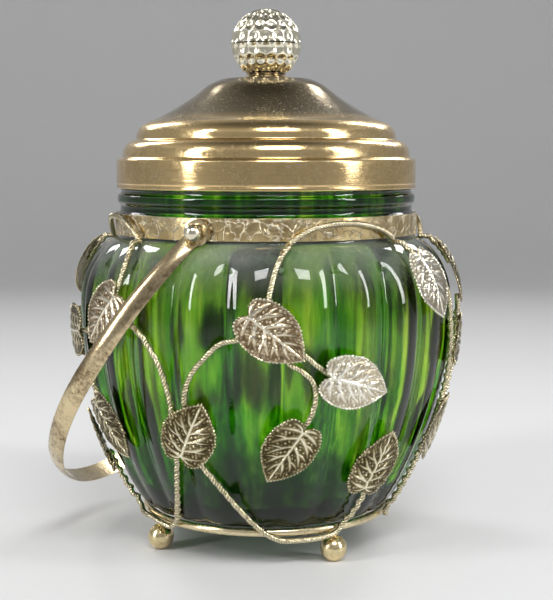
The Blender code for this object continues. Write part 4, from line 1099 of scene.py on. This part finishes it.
def make_sprays():
    """The front spray of wires and leaves, and its copy half a turn round."""
    wire = pressed_finish("wire_brass", (0.88, 0.80, 0.58), (0.64, 0.56, 0.36), (0.32, 0.255, 0.145))
    # Leaf brass, darkest in the recesses and lightest on the tops: patina and rubbing, with painted shade
    # and painted highlights.
    aged_and_painted_dark = pressed_finish("leaf_brass", (0.93, 0.87, 0.66), (0.35, 0.29, 0.155), (0.065, 0.05, 0.022))
    # A lighter copy of the leaf brass for the leaves that catch the most light: a painted highlight.
    light = pressed_finish("leaf_brass_painted_highlight", (0.97, 0.94, 0.84), (0.84, 0.79, 0.66), (0.46, 0.40, 0.28))
    warm = pressed_finish("leaf_brass_warm", (0.95, 0.89, 0.72), (0.66, 0.55, 0.38), (0.23, 0.165, 0.085))
    finishes = {"bright": light, "arch_end": light, "crown": warm, "crown_left": warm}
    form = leaf_form()
    heights, radii, _ = WIRE_LINE
    for index in range(SPRAY_COUNT):
        spray_turn = TAU * index / SPRAY_COUNT
        label = "_%d" % (index + 1)
        for name, route in WIRES.items():
            path = smooth_route(route)
            height = path[:, 1] * SHOULDER_HEIGHT
            turn = PIVOT_TURN + spray_turn + np.radians(path[:, 0])
            track = polar(np.interp(height, heights, radii), turn, height)
            stands_for(rope("rope_" + name + label, track, wire), "vine_" + name + label, "caddy")
        for name, place in LEAVES.items():
            leaf = make_leaf("pressed_" + name + label, place, spray_turn, finishes.get(name, aged_and_painted_dark), form)
            stands_for(leaf, "leaf_" + name + label, "caddy")


# Stage, light and camera

SWEEP_FLAT = 1000.0  # radius of the flat floor
SWEEP_BEND = 500.0
SWEEP_TOP = 1200.0
LAMP_AIM = (0, 0, 0.07)
LAMP_SPREAD = math.radians(100)
# Each lamp: degrees round from the front, distance, height, width, length and power in watts.
LAMPS = {
    "left_strip": (-58, 1.2, 0.60, 0.18, 0.95, 2.5),
    "right_strip": (66, 1.2, 0.62, 0.20, 0.95, 2.5),
    "front_top": (12, 0.75, 0.95, 0.50, 0.30, 1.7),
    "back_left": (-140, 1.1, 0.85, 0.30, 0.5, 1.4),
    "back_right": (145, 1.1, 0.85, 0.30, 0.5, 1.4),
}
SKY_STRENGTH = 0.8
CAMERA_PLACE = (0.00411, -0.523, 0.1399)
CAMERA_TILT = math.radians(83.55)
CAMERA_LENS = 84.5


def make_camera():
    view = bpy.data.cameras.new("camera")
    view.sensor_fit = "HORIZONTAL"
    view.sensor_width = 36.0
    view.lens = CAMERA_LENS
    item = new_object("camera", view)
    item.location = CAMERA_PLACE
    item.rotation_euler = (CAMERA_TILT, 0.0, 0.0)
    bpy.context.scene.camera = item
    bpy.context.scene.view_settings.view_transform = "Standard"


def make_stage():
    """A pale floor that curves up into a wall all round."""
    chain = [(0, FOOT_SOLE), (300, FOOT_SOLE), (700, FOOT_SOLE), (SWEEP_FLAT, FOOT_SOLE)]
    chain += [(SWEEP_FLAT + SWEEP_BEND * math.sin(a), FOOT_SOLE + SWEEP_BEND * (1 - math.cos(a)))
              for a in np.linspace(0, math.pi / 2, 14)[1:]]
    chain += [(SWEEP_FLAT + SWEEP_BEND, SWEEP_TOP)]
    sweep = lathe("sweep", chain, circle(96), paper_finish())
    sweep.data.flip_normals()


def lamp(name, azimuth, distance, height, width, length, power):
    """A soft rectangular lamp that looks at the jar."""
    light = bpy.data.lights.new(name, "AREA")
    light.shape = "RECTANGLE"
    light.size = width
    light.size_y = length
    light.energy = power
    light.spread = LAMP_SPREAD
    item = new_object(name, light)
    item.location = polar(distance, math.radians(azimuth), height)
    way = Vector(LAMP_AIM) - item.location
    item.rotation_euler = way.to_track_quat("-Z", "Y").to_euler()
    item.visible_camera = False


def make_light():
    """Five soft lamps, and a sky that is pale at the horizon and dark overhead."""
    for name, place in LAMPS.items():
        lamp(name, *place)
    world = bpy.data.worlds.new("studio")
    bpy.context.scene.world = world
    world.use_nodes = True
    tree = world.node_tree
    place = add(tree, "TexCoord").outputs["Generated"]
    up = add(tree, "SeparateXYZ", Vector=place).outputs[2]
    sky = tree.nodes["Background"].inputs
    tree.links.new(colour_ramp(tree, up, (0.60, 0.70), (0.95, 0.14)), sky["Color"])
    sky["Strength"].default_value = SKY_STRENGTH


make_camera()
make_stage()
make_light()
make_glass()
make_lid()
make_knob()
make_band()
make_pivots()
make_handle()
make_base()
make_sprays()
dress_screw()
